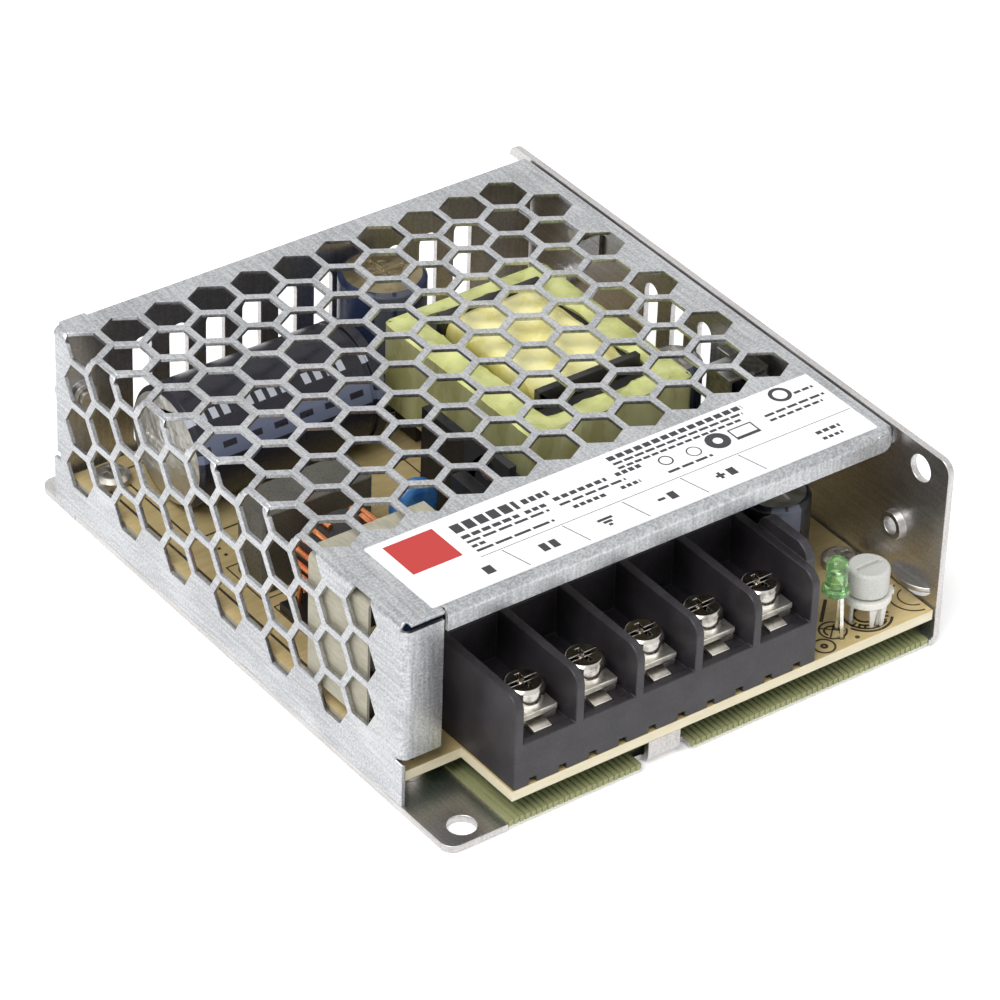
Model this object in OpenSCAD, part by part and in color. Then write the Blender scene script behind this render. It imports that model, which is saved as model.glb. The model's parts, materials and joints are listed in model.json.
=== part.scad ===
// Mesh-case switching power supply: a folded chassis and a folded hexagon-mesh cover
// around a populated board, with a five-way screw terminal block at the open end.
// X runs along the terminals, Y runs back into the case, Z is up.

/* [Case] */
// Overall width along the terminal side
case_w = 82; // [81:0.1:83]
// Overall length, ear to ear
case_l = 99; // [98.5:0.1:100]
// Overall height
case_h = 30; // [30:0.1:31]
// Thickness of the chassis sheet
chassis_t = 1.0; // [0.9:0.05:1.1]
// Thickness of the cover sheet
cover_t = 0.6; // [0.6:0.05:0.8]
// Distance from the front edge of the chassis to the front face of the cover
cover_front = 10.6; // [10:0.1:11]
// Distance from the front edge of the chassis to the outside of its back wall
back_face = 94; // [93.5:0.1:94.5]

/* [Hexagon mesh] */
// Distance between neighbouring holes in one row
mesh_pitch = 7.11; // [7:0.01:7.2]
// Width of one hexagonal hole across its flats
hole_flats = 6.0; // [5.4:0.1:6.3]
// Rows of holes on the top
top_rows = 10; // [6:1:10]
// Rows of holes on the side
side_rows = 12; // [8:1:12]

/* [Board] */
// Height of the board's top face above the bottom of the case
board_top = 5.8; // [5.5:0.1:6.2]
// Thickness of the board
board_t = 1.6; // [1.2:0.1:1.6]

/* [Terminals] */
// Distance between terminals
way_pitch = 9.7; // [9.5:0.1:9.8]
// How far a terminal screw stands above its tightened position
screw_lift = 0.4; // [0:0.1:2.4]

/* [Hidden] */
ways = 5;                                   // number of terminals, one node each
eps = 0.01;
$fn = 48;

// ---- levels and edges shared by several sub-parts ----
board_bottom = board_top - board_t;
wall_in = case_w - chassis_t;               // inner face of the right wall
back_in = back_face - chassis_t;            // inner face of the back wall
wall_top = case_h - 0.4;
cover_top = case_h - 0.15;                  // the label makes up the rest
cover_under = cover_top - cover_t;
bend_r = 1.2;                               // outer radius of the cover's bends
ear_r = 2.0;                                // corner radius of the mounting ears
ear_hole_r = 2.0;
front_ear_x = 4.4;
front_ear_y = 3.3;
side_ear_y = 5.6;
side_ear_z = 26;
tap_r = 1.25;                               // core radius of an M3 thread
tap_boss_r = 2.1;
tap_boss_h = 1.2;
cover_screw_y = [26, 80];                   // along the right wall
cover_screw_z = 24.6;
back_screw_x = 3.7;
back_screw_z = 18;

// ---- mesh lattice ----
row_pitch = mesh_pitch * sqrt(3) / 2;
hole_r = hole_flats / sqrt(3);
row0_y = 88;                                // rearmost row
col0_x = 7.85;                              // first hole of an even row
top_cols = 10;
// Lattice places on the flat sheet carry on down the side, less the bend's allowance.
bend_allowance = 1.0;
function row_y(row) = row0_y - row * row_pitch;
function side_z(flat_x) = case_h - bend_allowance + flat_x + 0.23;

// ---- terminal block ----
tb_x0 = 10.3;
tb_y0 = 0.3;
tb_y1 = 19;
tb_top = 20.3;
tb_sill = 12.8;
tb_floor = 12.4;
tb_web = 1.3;
tb_x1 = tb_x0 + ways * way_pitch + tb_web;
tb_first_x = tb_x0 + (tb_web + way_pitch) / 2;
tb_screw_y = 6.2;
plate_t = 0.8;
clamp_t = 0.9;
head_t = 2.2;
head_r = 2.8;
thread_r = 1.45;
contact_top = tb_floor + plate_t;
clamp_closed = 0.3;                         // what stays open when tightened
washer_t = 0.7;                             // spring washer on the clamp
washer_r = 2.65;
clamp_z = contact_top + clamp_closed + screw_lift;
head_z = clamp_z + clamp_t + washer_t + 0.05;
function way_x(i) = tb_first_x + i * way_pitch;

// ---- components: places on the board ----
lead_r = 0.35;
lead_end = board_bottom - 1.4;
led_x = 65.6;
led_y = 3.4;
trim_x = 72.3;
trim_y = 4.6;
tr_x0 = 43.3;
tr_x1 = 71.3;
tr_y0 = 42.2;
tr_y1 = 77.2;
tr_top = 24.4;
tape_low = 11;
bulk_r = 9;
bulk_x0 = 8.6;
bulk_x1 = 39.6;
bulk_y = 79.2;
out_caps = [[49.4, 85.9, 6.4, 25.6], [75.8, 52, 3.9, 20], [66, 17.6, 5, 21.4]];
choke_y = 44.5;
xcap_y = 57;

module in_frame() {
    translate([-case_w / 2, -case_l / 2, 0])
        children();
}

// 2-D rectangle from p to q with its corners rounded to r
module round_rect(p, q, r) {
    translate([p.x + r, p.y]) square([q.x - p.x - 2 * r, q.y - p.y]);
    translate([p.x, p.y + r]) square([q.x - p.x, q.y - p.y - 2 * r]);
    for (x = [p.x + r, q.x - r], y = [p.y + r, q.y - r])
        translate([x, y]) circle(r = r);
}

// 2-D slot of width 2r whose centres run from p to q along one axis
module slot_2d(p, q, r) {
    for (c = [p, q])
        translate(c) circle(r = r);
    if (abs(q.x - p.x) > abs(q.y - p.y))
        translate([min(p.x, q.x), p.y - r]) square([abs(q.x - p.x), 2 * r]);
    else
        translate([p.x - r, min(p.y, q.y)]) square([2 * r, abs(q.y - p.y)]);
}

// Quarter of a bent sheet: outer radius r, thickness t, in the first quadrant
module bend_2d(r, t) {
    intersection() {
        difference() {
            circle(r = r);
            circle(r = r - t);
        }
        square(r);
    }
}

// Extrudes a shape drawn in Y and Z along +X, from x0
module along_x(x0, len) {
    translate([x0, 0, 0]) rotate([90, 0, 90]) linear_extrude(len) children();
}

// Extrudes a shape drawn in X and Z along +Y, from y0
module along_y(y0, len) {
    translate([0, y0 + len, 0]) rotate([90, 0, 0]) linear_extrude(len) children();
}

// Box from corner p to corner q
module box(p, q) {
    translate(p) cube(q - p);
}

// ================= chassis =================
slot_pitch = 6.1;
slot_r = 1.55;
slot_z = [7.5, 22.1];
back_slots = 10;
back_slot_x = 13.7;
side_slots = 3;
side_slot_y = 52.4;
chassis_bend = 1.5;
rear_ear_x = 8.2;
wing_z = 2.4;
stop_x = [32.6, 37.9];
notch_x = [31.2, 39.4];
stop_y = 0.6;
key_y = [89.4, 93.4];                           // the cover's locating tab
base_taps = [[20, 30], [62, 30], [41, 72]];
side_taps = [[9.4, 14.8], [84, 14.8]];
lance_y = [5.5, 84];
lance_len = 8;
lance_out = 2;
lance_t = 0.8;
lance_z = 7.7;                                  // where the half-moon is hinged to the wall
lance_r = (pow(lance_len / 2, 2) + pow(lance_out, 2)) / (2 * lance_out);

module base_plan() {
    difference() {
        union() {
            round_rect([0, 0], [20, 20], ear_r);
            translate([0, ear_r]) square([20, back_face - ear_r]);
            translate([10, 0]) square([case_w - chassis_bend - 10, back_face - chassis_bend]);
            round_rect([0, back_face - 10], [rear_ear_x, case_l], ear_r);
        }
        // the floor is a little short where the insulation sheet laps over its front edge
        translate([sheet_x[0] - 0.1, -1])
            square([sheet_x[1] - sheet_x[0] + 0.2, 1 + sheet_y[0] + sheet_t + lap_gap]);
        // front notch, and the pocket that the board stop was bent out of
        translate([notch_x[0], -1])
            square([notch_x[1] - notch_x[0], 1 + stop_y + chassis_bend]);
        // relief between the rear ear and the back wall's bend
        translate([rear_ear_x, back_face - chassis_bend - 0.6]) square([1.2, 10]);
        // step for the cover's locating tab
        translate([-1, key_y[0]]) square([1 + cover_t + 0.05, key_y[1] - key_y[0]]);
        translate([front_ear_x, front_ear_y]) circle(r = ear_hole_r);
        slot_2d([front_ear_x, case_l - 2.2], [front_ear_x, case_l + 5], 1.75);
        for (p = base_taps)
            translate(p) circle(r = tap_r);
    }
}

module side_plan() {
    difference() {
        union() {
            translate([0, chassis_bend])
                square([back_face - 0.3, wall_top - chassis_bend - ear_r]);
            round_rect([0, 10], [case_l, wall_top], ear_r);
        }
        // the wall stops at the corner below its rear ear
        translate([back_face - 0.3, 0]) square([10, 21.5]);
        translate([side_ear_y, side_ear_z]) circle(r = ear_hole_r);
        slot_2d([case_l - 2.2, side_ear_z], [case_l + 5, side_ear_z], 1.75);
        for (i = [0 : side_slots - 1])
            slot_2d([side_slot_y + i * slot_pitch, slot_z[0]],
                    [side_slot_y + i * slot_pitch, slot_z[1]], slot_r);
        for (p = side_taps)
            translate(p) circle(r = tap_r);
        for (y = lance_y)
            translate([y, lance_z]) rotate(90) half_moon();
    }
}

back_step = cover_top - bend_r - 0.3;       // the corner steps down under the cover's bend

module back_plan() {
    difference() {
        union() {
            translate([rear_ear_x + 1.2, chassis_bend])
                square([wall_in - 0.3 - rear_ear_x - 1.2, back_step - chassis_bend]);
            translate([rear_ear_x + 1.2, back_step - 1])
                square([wall_in - 1.6 - rear_ear_x - 1.2, cover_under - 0.1 - back_step + 1]);
            translate([1.1, wing_z]) square([20, cover_under - 0.1 - wing_z]);
        }
        for (i = [0 : back_slots - 1])
            slot_2d([back_slot_x + i * slot_pitch, slot_z[0]],
                    [back_slot_x + i * slot_pitch, slot_z[1]], slot_r);
        translate([back_screw_x, back_screw_z]) circle(r = tap_r);
    }
}

// Clearance hole in the right wall with a cone for a flush head
module countersink() {
    translate([wall_in - 1, 0, 0]) rotate([0, 90, 0])
        cylinder(r = 1.6, h = 3);
    translate([wall_in + 0.1, 0, 0]) rotate([0, 90, 0])
        cylinder(r1 = 1.6, r2 = 2.7, h = chassis_t - 0.1 + eps);
}

// Extruded and tapped hole: a ring drawn up from the sheet along +Z
module tap_boss() {
    difference() {
        cylinder(r = tap_boss_r, h = tap_boss_h);
        translate([0, 0, -1]) cylinder(r = tap_r, h = tap_boss_h + 2);
    }
}

// Half-moon with its chord on the Y axis, bulging towards -X
module half_moon() {
    intersection() {
        translate([lance_r - lance_out, 0]) circle(r = lance_r);
        translate([-2 * lance_out, -lance_len]) square([2 * lance_out, 2 * lance_len]);
    }
}

module chassis() {
    color("lightsteelblue") in_frame() {
        linear_extrude(chassis_t) base_plan();
        // right-hand bend and wall
        along_y(0, back_face - chassis_bend)
            translate([case_w - chassis_bend, chassis_bend]) rotate(-90)
                bend_2d(chassis_bend, chassis_t);
        difference() {
            along_x(wall_in, chassis_t) side_plan();
            for (y = cover_screw_y)
                translate([0, y, cover_screw_z]) countersink();
        }
        // rear bend and wall
        along_x(rear_ear_x + 1.2, wall_in - chassis_bend + 0.5 - rear_ear_x - 1.2)
            translate([back_face - chassis_bend, chassis_bend]) rotate(-90)
                bend_2d(chassis_bend, chassis_t);
        along_y(back_in, chassis_t) back_plan();
        // board stop, bent up at the front notch
        along_x(stop_x[0], stop_x[1] - stop_x[0]) {
            translate([stop_y + chassis_bend, chassis_bend]) rotate(180)
                bend_2d(chassis_bend, chassis_t);
            translate([stop_y, chassis_bend])
                square([chassis_t, board_bottom - chassis_bend]);
        }
        for (p = base_taps)
            translate([p.x, p.y, chassis_t - eps]) tap_boss();
        for (p = side_taps)
            translate([wall_in + eps, p.x, p.y]) rotate([0, -90, 0]) tap_boss();
        translate([back_screw_x, back_in + eps, back_screw_z]) rotate([90, 0, 0]) tap_boss();
        for (y = lance_y)
            translate([wall_in + eps, y, lance_z]) linear_extrude(lance_t) half_moon();
    }
}

// ================= cover =================
lip_h = 3.3;
lip_x0 = 6.7;
return_w = 6.2;
return_z = 8.3;
rear_z = 9.3;
cover_left = 0;
cover_right = wall_in - 0.1;
cover_rear = back_face + cover_t;             // outside of the rear return flange
flange_h = 3.4;
screw_tab = [8, 8];

module hex_hole() {
    rotate(30) circle(r = hole_r, $fn = 6);
}

module top_holes() {
    for (row = [0 : top_rows - 1]) {
        shift = row % 2 == 0 ? 0 : -mesh_pitch / 2;
        count = row % 2 == 0 ? top_cols : top_cols + 1;
        for (i = [0 : count - 1])
            translate([col0_x + shift + i * mesh_pitch, row_y(row)]) hex_hole();
    }
}

// Holes that run round the bend: cut from above and from the side
module bend_holes_top() {
    for (row = [0 : 2 : top_rows - 1])
        translate([col0_x - mesh_pitch, row_y(row)]) hex_hole();
}

module side_holes() {
    for (row = [0 : side_rows - 1]) {
        first = row % 2 == 0 ? col0_x - 2 * mesh_pitch : col0_x - 1.5 * mesh_pitch;
        for (i = [0 : 2])
            translate([row_y(row), side_z(first - i * mesh_pitch)])
                rotate(90) hex_hole();
    }
    for (row = [0 : 2 : top_rows - 1])
        translate([row_y(row), side_z(col0_x - mesh_pitch)]) rotate(90) hex_hole();
}

module cover_top_plan() {
    difference() {
        union() {
            translate([bend_r, cover_front + bend_r])
                square([cover_right - 2 * bend_r, back_face - cover_front - bend_r]);
            translate([bend_r, back_face - 1]) square([4.2, 1 + cover_t]);
            translate([bend_r, cover_front + 0.3]) square([5.2, 2]);
            translate([lip_x0, cover_front + bend_r - 0.5])
                square([cover_right - bend_r - lip_x0, 1]);
        }
        top_holes();
        bend_holes_top();
    }
}

module cover_side_plan() {
    difference() {
        union() {
            translate([cover_front + bend_r, chassis_t])
                square([cover_rear - cover_front - 2 * bend_r, cover_top - bend_r - chassis_t]);
            translate([cover_front, chassis_t]) square([bend_r + 1, return_z - chassis_t]);
            translate([key_y[0] + 0.1, 0]) square([key_y[1] - key_y[0] - 0.2, 5]);
            translate([back_face - 1, chassis_t]) square([1 + cover_t, rear_z - chassis_t]);
        }
        side_holes();
        // bend reliefs of the return flanges
        translate([cover_front - 1, return_z - 0.6]) square([1 + bend_r + 0.4, 0.7]);
        translate([cover_rear - bend_r - 0.4, rear_z - 1.3]) square([10, 1.4]);
    }
}

module cover() {
    color("silver") in_frame() {
        translate([0, 0, cover_under]) linear_extrude(cover_t) cover_top_plan();
        along_x(cover_left, cover_t) cover_side_plan();
        // long bend between top and side, pierced by every other row
        difference() {
            along_y(cover_front + bend_r, back_face - cover_front - bend_r)
                translate([bend_r, cover_top - bend_r]) rotate(90) bend_2d(bend_r, cover_t);
            translate([0, 0, cover_top - 5]) linear_extrude(10) bend_holes_top();
            along_x(-1, 5) side_holes();
        }
        // right-hand bend and flange inside the chassis wall
        along_y(cover_front + bend_r, back_face - cover_front - bend_r)
            translate([cover_right - bend_r, cover_top - bend_r]) bend_2d(bend_r, cover_t);
        along_x(cover_right - cover_t, cover_t)
            difference() {
                union() {
                    translate([cover_front + bend_r, cover_top - flange_h])
                        square([back_in - 0.3 - cover_front - bend_r, flange_h - bend_r]);
                    for (y = cover_screw_y)
                        round_rect([y - screw_tab[0] / 2, cover_top - screw_tab[1]],
                                   [y + screw_tab[0] / 2, cover_top - bend_r - 0.5], 1);
                }
                for (y = cover_screw_y)
                    translate([y, cover_screw_z]) circle(r = tap_r);
            }
        // front lip under the label
        along_x(lip_x0, cover_right - bend_r - lip_x0)
            translate([cover_front + bend_r, cover_top - bend_r]) rotate(90)
                bend_2d(bend_r, cover_t);
        along_y(cover_front, cover_t)
            round_lip();
        // return flanges at the front and rear of the side
        translate([0, cover_front, return_z])
            linear_extrude(cover_top - bend_r - return_z) return_plan();
        difference() {
            translate([0, cover_rear, rear_z]) mirror([0, 1, 0])
                linear_extrude(cover_top - bend_r - rear_z) return_plan();
            translate([back_screw_x, cover_rear + 1, back_screw_z]) rotate([90, 0, 0])
                cylinder(r = 1.6, h = 3);
        }
    }
}

module round_lip() {
    translate([lip_x0, cover_top - lip_h])
        square([cover_right - 2.2 - lip_x0, lip_h - bend_r]);
    translate([lip_x0, cover_top - lip_h + 1.5])
        square([cover_right - 0.9 - lip_x0, lip_h - bend_r - 1.5]);
    translate([cover_right - 2.4, cover_top - lip_h + 1.5]) circle(r = 1.5);
}

// Rounded corner and flange of a return, from the outer corner at the origin
module return_plan() {
    translate([bend_r, bend_r]) rotate(180) bend_2d(bend_r, cover_t);
    translate([bend_r, 0]) square([return_w - bend_r, cover_t]);
}

// ================= label and insulation =================
label_t = 0.15;
label_from = [5.3, 12];
label_to = [78.5, 27.4];

module rating_label() {
    color("white") in_frame()
        translate([0, 0, cover_top]) linear_extrude(label_t)
            round_rect(label_from, label_to, 0.3);
}

sheet_t = 0.25;
sheet_x = [9.6, 80.2];
sheet_y = [0.2, 92.2];
rib_pitch = 0.9;
rib_w = 0.55;
rib_h = 0.15;
lap_z = 0.3;                                 // lower edge of the lap over the floor's edge
lap_gap = 0.05;

// Ribbed plastic sheet between the chassis and the solder side
module base_insulation_sheet() {
    color("yellowgreen") in_frame()
        difference() {
            union() {
                along_y(sheet_y[0], sheet_y[1] - sheet_y[0]) {
                    translate([sheet_x[0], chassis_t])
                        square([sheet_x[1] - sheet_x[0], sheet_t]);
                    ribs(chassis_t, sheet_t + rib_h);
                }
                // lap that hangs over the front edge of the floor, with the ribs running on
                along_y(sheet_y[0], sheet_t)
                    translate([sheet_x[0], lap_z])
                        square([sheet_x[1] - sheet_x[0], chassis_t + sheet_t - lap_z]);
                along_y(sheet_y[0] - rib_h, rib_h + eps)
                    ribs(lap_z, chassis_t + sheet_t + rib_h - lap_z);
            }
            box([notch_x[0], -1, 0], [notch_x[1], stop_y + 2.7, 5]);
            for (p = base_taps)
                translate([p.x, p.y, 0]) cylinder(r = tap_boss_r + 0.5, h = 5);
            for (p = standoffs)
                translate([p.x, p.y, 0]) cylinder(r = standoff_r + 0.3, h = 5);
        }
}

// Section of the ribs in X and Z
module ribs(z, high) {
    for (x = [sheet_x[0] : rib_pitch : sheet_x[1] - rib_w])
        translate([x, z]) square([rib_w, high]);
}

card_t = 0.4;
card_x = 1.0;
card_top = 27.6;

// Card folded over at the top that screens the input side from the cover
module side_insulation_sheet() {
    color("beige") in_frame() {
        along_y(20, 13.6) {
            translate([card_x, 8]) square([card_t, card_top - 8 - 1]);
            translate([card_x + 1, card_top - 1]) rotate(90) bend_2d(1, card_t);
        }
        box([card_x + 1, 20, card_top - card_t], [20, 34.6, card_top]);
    }
}

// ================= board =================
board_x = [1.1, 80.7];
board_y = [0.3, 92];
board_notch = [10.1, 11.5];
standoffs = [[5.2, 16.4], [77, 15.6], [5, 87.6], [76.8, 88]];
standoff_r = 2.4;

// Every lead that passes through the board, as [x, y, hole radius]
lead_hole = 0.5;
function through() = concat(
    [for (i = [0 : ways - 1]) [way_x(i), pin_y, 0.8]],
    [for (s = [-1, 1]) [led_foot(s).x, led_foot(s).y, lead_hole]],
    [for (p = trim_pins) [p.x, p.y, lead_hole]],
    [for (x = tr_pins, y = [tr_y0 + 3, tr_y1 - 3]) [x, y, 0.6]],
    [for (s = [-1, 1]) [bulk_pin_x, bulk_y + s * 3.75, 0.6]],
    [for (c = out_caps, s = [-1, 1]) [c.x, c.y + s * c.z / 2.6, lead_hole]],
    [for (x = choke_pins, y = [choke_y - 3.5, choke_y + 3.5]) [x, y, 0.6]],
    [for (x = xcap_pins) [x, xcap_y, lead_hole]],
    [for (d = discs, s = [-1, 1]) [d.x + s * disc_pin, d.y, lead_hole]],
    [for (s = [-1, 1]) [fuse_x, fuse_y + s * 2.54, lead_hole]],
    [for (i = [0 : 3]) [bridge_x + (i - 1.5) * 3.8, bridge_y, lead_hole]],
    [for (i = [-1 : 1]) [fet_x, fet_y + i * 2.54, lead_hole]],
    [for (i = [-1 : 1]) [diode_x, diode_y + i * 2.54, lead_hole]],
    [for (i = [0 : 3], s = [-1, 1]) [chip_x + (i - 1.5) * 2.54, chip_y + s * 3.81, lead_hole]],
    [for (i = [0 : 1], s = [-1, 1]) [opto_x + (i - 0.5) * 2.54, opto_y + s * 3.81, lead_hole]],
    [for (s = [-1, 1]) [coil_x, coil_y + s * 2.5, 0.6]]
);

module circuit_board() {
    color("tan") in_frame()
        translate([0, 0, board_bottom]) linear_extrude(board_t)
            difference() {
                translate([board_x[0], board_y[0]])
                    square([board_x[1] - board_x[0], board_y[1] - board_y[0]]);
                translate([0, -1]) square([board_notch[0], 1 + board_notch[1]]);
                for (p = through())
                    translate([p.x, p.y]) circle(r = p.z, $fn = 24);
                for (p = standoffs)
                    translate(p) circle(r = 1.6);
            }
}

// Pillars pressed into the floor, and the screws that hold the board on them
module board_standoffs() {
    color("silver") in_frame()
        for (p = standoffs)
            translate([p.x, p.y, chassis_t])
                difference() {
                    cylinder(r = standoff_r, h = board_bottom - chassis_t);
                    translate([0, 0, 0.5]) cylinder(r = tap_r, h = 10);
                }
}

module cross_recess(size, depth) {
    for (a = [0, 90])
        rotate(a) translate([-size / 2, -0.35, -depth]) cube([size, 0.7, depth + 1]);
}

// Pan-head M3 screw with its seat at the origin and its shank down -Z
module pan_screw(len) {
    difference() {
        union() {
            cylinder(r = 2.7, h = 1.1);
            translate([0, 0, 1.1]) cylinder(r1 = 2.7, r2 = 1.9, h = 0.6);
        }
        translate([0, 0, 1.7]) cross_recess(2.8, 1);
    }
    translate([0, 0, -len]) cylinder(r = tap_r - 0.05, h = len);
}

module board_screws() {
    color("gainsboro") in_frame()
        for (p = standoffs)
            translate([p.x, p.y, board_top]) pan_screw(4);
}

module cover_screws() {
    color("gainsboro") in_frame() {
        translate([back_screw_x, cover_rear, back_screw_z]) rotate([-90, 0, 0]) pan_screw(3.4);
        for (y = cover_screw_y)
            translate([case_w - 0.1, y, cover_screw_z]) rotate([0, 90, 0])
                difference() {
                    union() {
                        translate([0, 0, 0.2 - chassis_t])
                            cylinder(r1 = 1.5, r2 = 2.55, h = chassis_t - 0.2);
                        translate([0, 0, -3.4]) cylinder(r = tap_r - 0.05, h = 3);
                    }
                    cross_recess(2.4, 0.7);
                }
    }
}

// ================= terminal block =================
pin_y = 12.2;
well_r = 2;
well_floor = 7.6;
wall_corner = 2.2;
end_cap = [60.1, 61.6];

// Side view of a barrier, with its front top corner rounded
module barrier_2d(top) {
    translate([tb_y0, board_top])
        square([tb_y1 - tb_y0, top - wall_corner - board_top]);
    translate([tb_y0 + wall_corner, top - wall_corner - 1])
        square([tb_y1 - tb_y0 - wall_corner, wall_corner + 1]);
    translate([tb_y0 + wall_corner, top - wall_corner]) circle(r = wall_corner);
}

module terminal_housing() {
    color([0.13, 0.12, 0.14]) in_frame()
        difference() {
            union() {
                along_x(tb_x0, tb_x1 - tb_x0)
                    difference() {
                        barrier_2d(tb_sill + wall_corner);
                        translate([tb_y0 - 1, tb_sill]) square([40, 20]);
                        translate([tb_y0 + 1.2, tb_floor]) square([40, 20]);
                    }
                for (i = [0 : ways])
                    along_x(tb_x0 + i * way_pitch, tb_web) barrier_2d(tb_top);
                // rear wall
                box([tb_x0, tb_y1 - 1.2, board_top], [tb_x1, tb_y1, tb_top - 0.6]);
                // rounded cap on the right-hand end
                along_x(end_cap[0] - eps, end_cap[1] - end_cap[0])
                    intersection() {
                        translate([3.4, board_top]) round_rect([0, -2], [10.4, 16.6], 2.4);
                        translate([0, board_top]) square(40);
                    }
            }
            for (i = [0 : ways - 1])
                translate([way_x(i), tb_screw_y, well_floor]) cylinder(r = well_r, h = 20);
            for (i = [0 : ways - 1])
                box([way_x(i) - 0.6, pin_y - 0.5, 0], [way_x(i) + 0.6, pin_y + 0.5, 20]);
            // moulding notches along the foot
            for (i = [0 : ways - 1], s = [-1, 1])
                box([way_x(i) + s * 2.4 - 0.6, 0, board_top - 1],
                    [way_x(i) + s * 2.4 + 0.6, tb_y0 + 0.8, board_top + 1]);
        }
}

contact_w = 7;
tongue_w = 2.9;

module terminal_contact(i) {
    color("silver") in_frame() translate([way_x(i), 0, 0]) {
        translate([0, 0, tb_floor]) linear_extrude(plate_t)
            difference() {
                union() {
                    translate([-contact_w / 2, 3.6]) square([contact_w, pin_y + 0.4 - 3.6]);
                }
                translate([0, tb_screw_y]) circle(r = thread_r + 0.05);
            }
        // tongue that slopes down to the front
        translate([-tongue_w / 2, 0, 0]) rotate([90, 0, 90]) linear_extrude(tongue_w)
            polygon([[4, contact_top], [3.6, contact_top], [1.7, contact_top - 0.35],
                     [1.7, tb_floor], [4, tb_floor]]);
        box([-0.5, pin_y - 0.4, lead_end], [0.5, pin_y + 0.4, tb_floor + eps]);
    }
}

module terminal_clamp(i) {
    color("gainsboro") in_frame() translate([way_x(i), tb_screw_y, clamp_z])
        difference() {
            union() {
                translate([-3.2, -3.2, 0]) cube([6.4, 6.4, clamp_t]);
                translate([0, 0, clamp_t - eps]) cylinder(r = washer_r, h = washer_t + eps);
            }
            translate([0, 0, -1]) cylinder(r = thread_r + 0.3, h = 5);
        }
}

shank_len = 6;

module terminal_screw(i) {
    color("whitesmoke") in_frame() translate([way_x(i), tb_screw_y, head_z]) {
        difference() {
            union() {
                cylinder(r = head_r, h = head_t - 0.4);
                translate([0, 0, head_t - 0.4]) cylinder(r1 = head_r, r2 = head_r - 0.4, h = 0.4);
            }
            translate([0, 0, head_t]) cross_recess(3.2, 1.2);
            translate([-3, -0.4, head_t - 0.7]) cube([6, 0.8, 2]);
        }
        translate([0, 0, -shank_len]) cylinder(r = thread_r, h = shank_len);
    }
}

// ================= indicator and trimmer =================
led_pitch = 2.54;
led_turn = 52;                               // the leads stand in a slanting line
led_lean = [1.6, 0.8];                       // and lean over from the board to the lamp
led_w = 0.25;
led_kink = board_top + 0.5;
function led_pin(s) = [led_x, led_y] + s * led_pitch / 2 * [cos(led_turn), sin(led_turn)];
function led_foot(s) = led_pin(s) + [s < 0 ? led_lean[0] : led_lean[1], 0];
led_base = 13.2;
led_r = 1.5;
led_len = 4.2;

module led_lamp() {
    color("limegreen") in_frame() translate([led_x, led_y, led_base]) {
        cylinder(r = 1.9, h = 0.9);
        cylinder(r = led_r, h = led_len);
        translate([0, 0, led_len]) sphere(r = led_r);
    }
}

module led_leads() {
    color("silver") in_frame()
        for (s = [-1, 1])
            along_y(led_pin(s).y - led_w, 2 * led_w)
                polygon([[led_foot(s).x - led_w, lead_end], [led_foot(s).x + led_w, lead_end],
                         [led_foot(s).x + led_w, led_kink], [led_pin(s).x + led_w, led_base],
                         [led_pin(s).x - led_w, led_base], [led_foot(s).x - led_w, led_kink]]);
}

trim_base = 8.9;
trim_r = 2.95;
trim_pins = [[trim_x - 2.5, trim_y], [trim_x + 2.5, trim_y], [trim_x, trim_y - 2.5]];
knob_pin_r = 0.9;
knob_h = 3.9;

module trimmer_base() {
    color("white") in_frame() translate([trim_x, trim_y, trim_base])
        difference() {
            union() {
                cylinder(r = 3.4, h = 1);
                cylinder(r = 1.7, h = 1.3);
            }
            translate([0, 0, -1]) cylinder(r = knob_pin_r + 0.05, h = 5);
        }
}

module trimmer_legs() {
    color("silver") in_frame()
        for (p = trim_pins)
            translate([p.x, p.y, lead_end])
                cylinder(r = lead_r, h = trim_base - lead_end);
}

module trimmer_knob() {
    color("ivory") in_frame() translate([trim_x, trim_y, trim_base + 1.4]) {
        difference() {
            union() {
                cylinder(r = trim_r, h = knob_h - 0.3);
                translate([0, 0, knob_h - 0.3]) cylinder(r1 = trim_r, r2 = trim_r - 0.3, h = 0.3);
            }
            translate([-2, -0.35, knob_h - 0.7]) cube([4, 0.7, 2]);
        }
        translate([0, 0, -1.8]) cylinder(r = knob_pin_r, h = 2);
    }
}

// ================= transformer =================
core_z = [tape_low, tr_top];
tape_t = 0.5;
turn_in_t = 0.4;
turn_in_x = 5;
turn_in_y = 3.4;
leg_w = 4.6;
yoke_w = 5;
post_w = 9.4;
tr_pins = [tr_x0 + 5, (tr_x0 + tr_x1) / 2, tr_x1 - 5];
window_x = (tr_x1 - tr_x0 - 2 * tape_t - 2 * leg_w - post_w) / 2;
window_y = [tr_y0 + tape_t + yoke_w, tr_y1 - tape_t - yoke_w];
tr_mid = (tr_x0 + tr_x1) / 2;

module transformer_core() {
    color("dimgray") in_frame()
        translate([0, 0, core_z[0] + 0.4]) linear_extrude(core_z[1] - core_z[0] - 0.9)
            difference() {
                translate([tr_x0 + tape_t, tr_y0 + tape_t])
                    square([tr_x1 - tr_x0 - 2 * tape_t, tr_y1 - tr_y0 - 2 * tape_t]);
                for (s = [-1, 1])
                    translate([tr_mid + s * (post_w + window_x) / 2 - window_x / 2, window_y[0]])
                        square([window_x, window_y[1] - window_y[0]]);
            }
}

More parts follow.
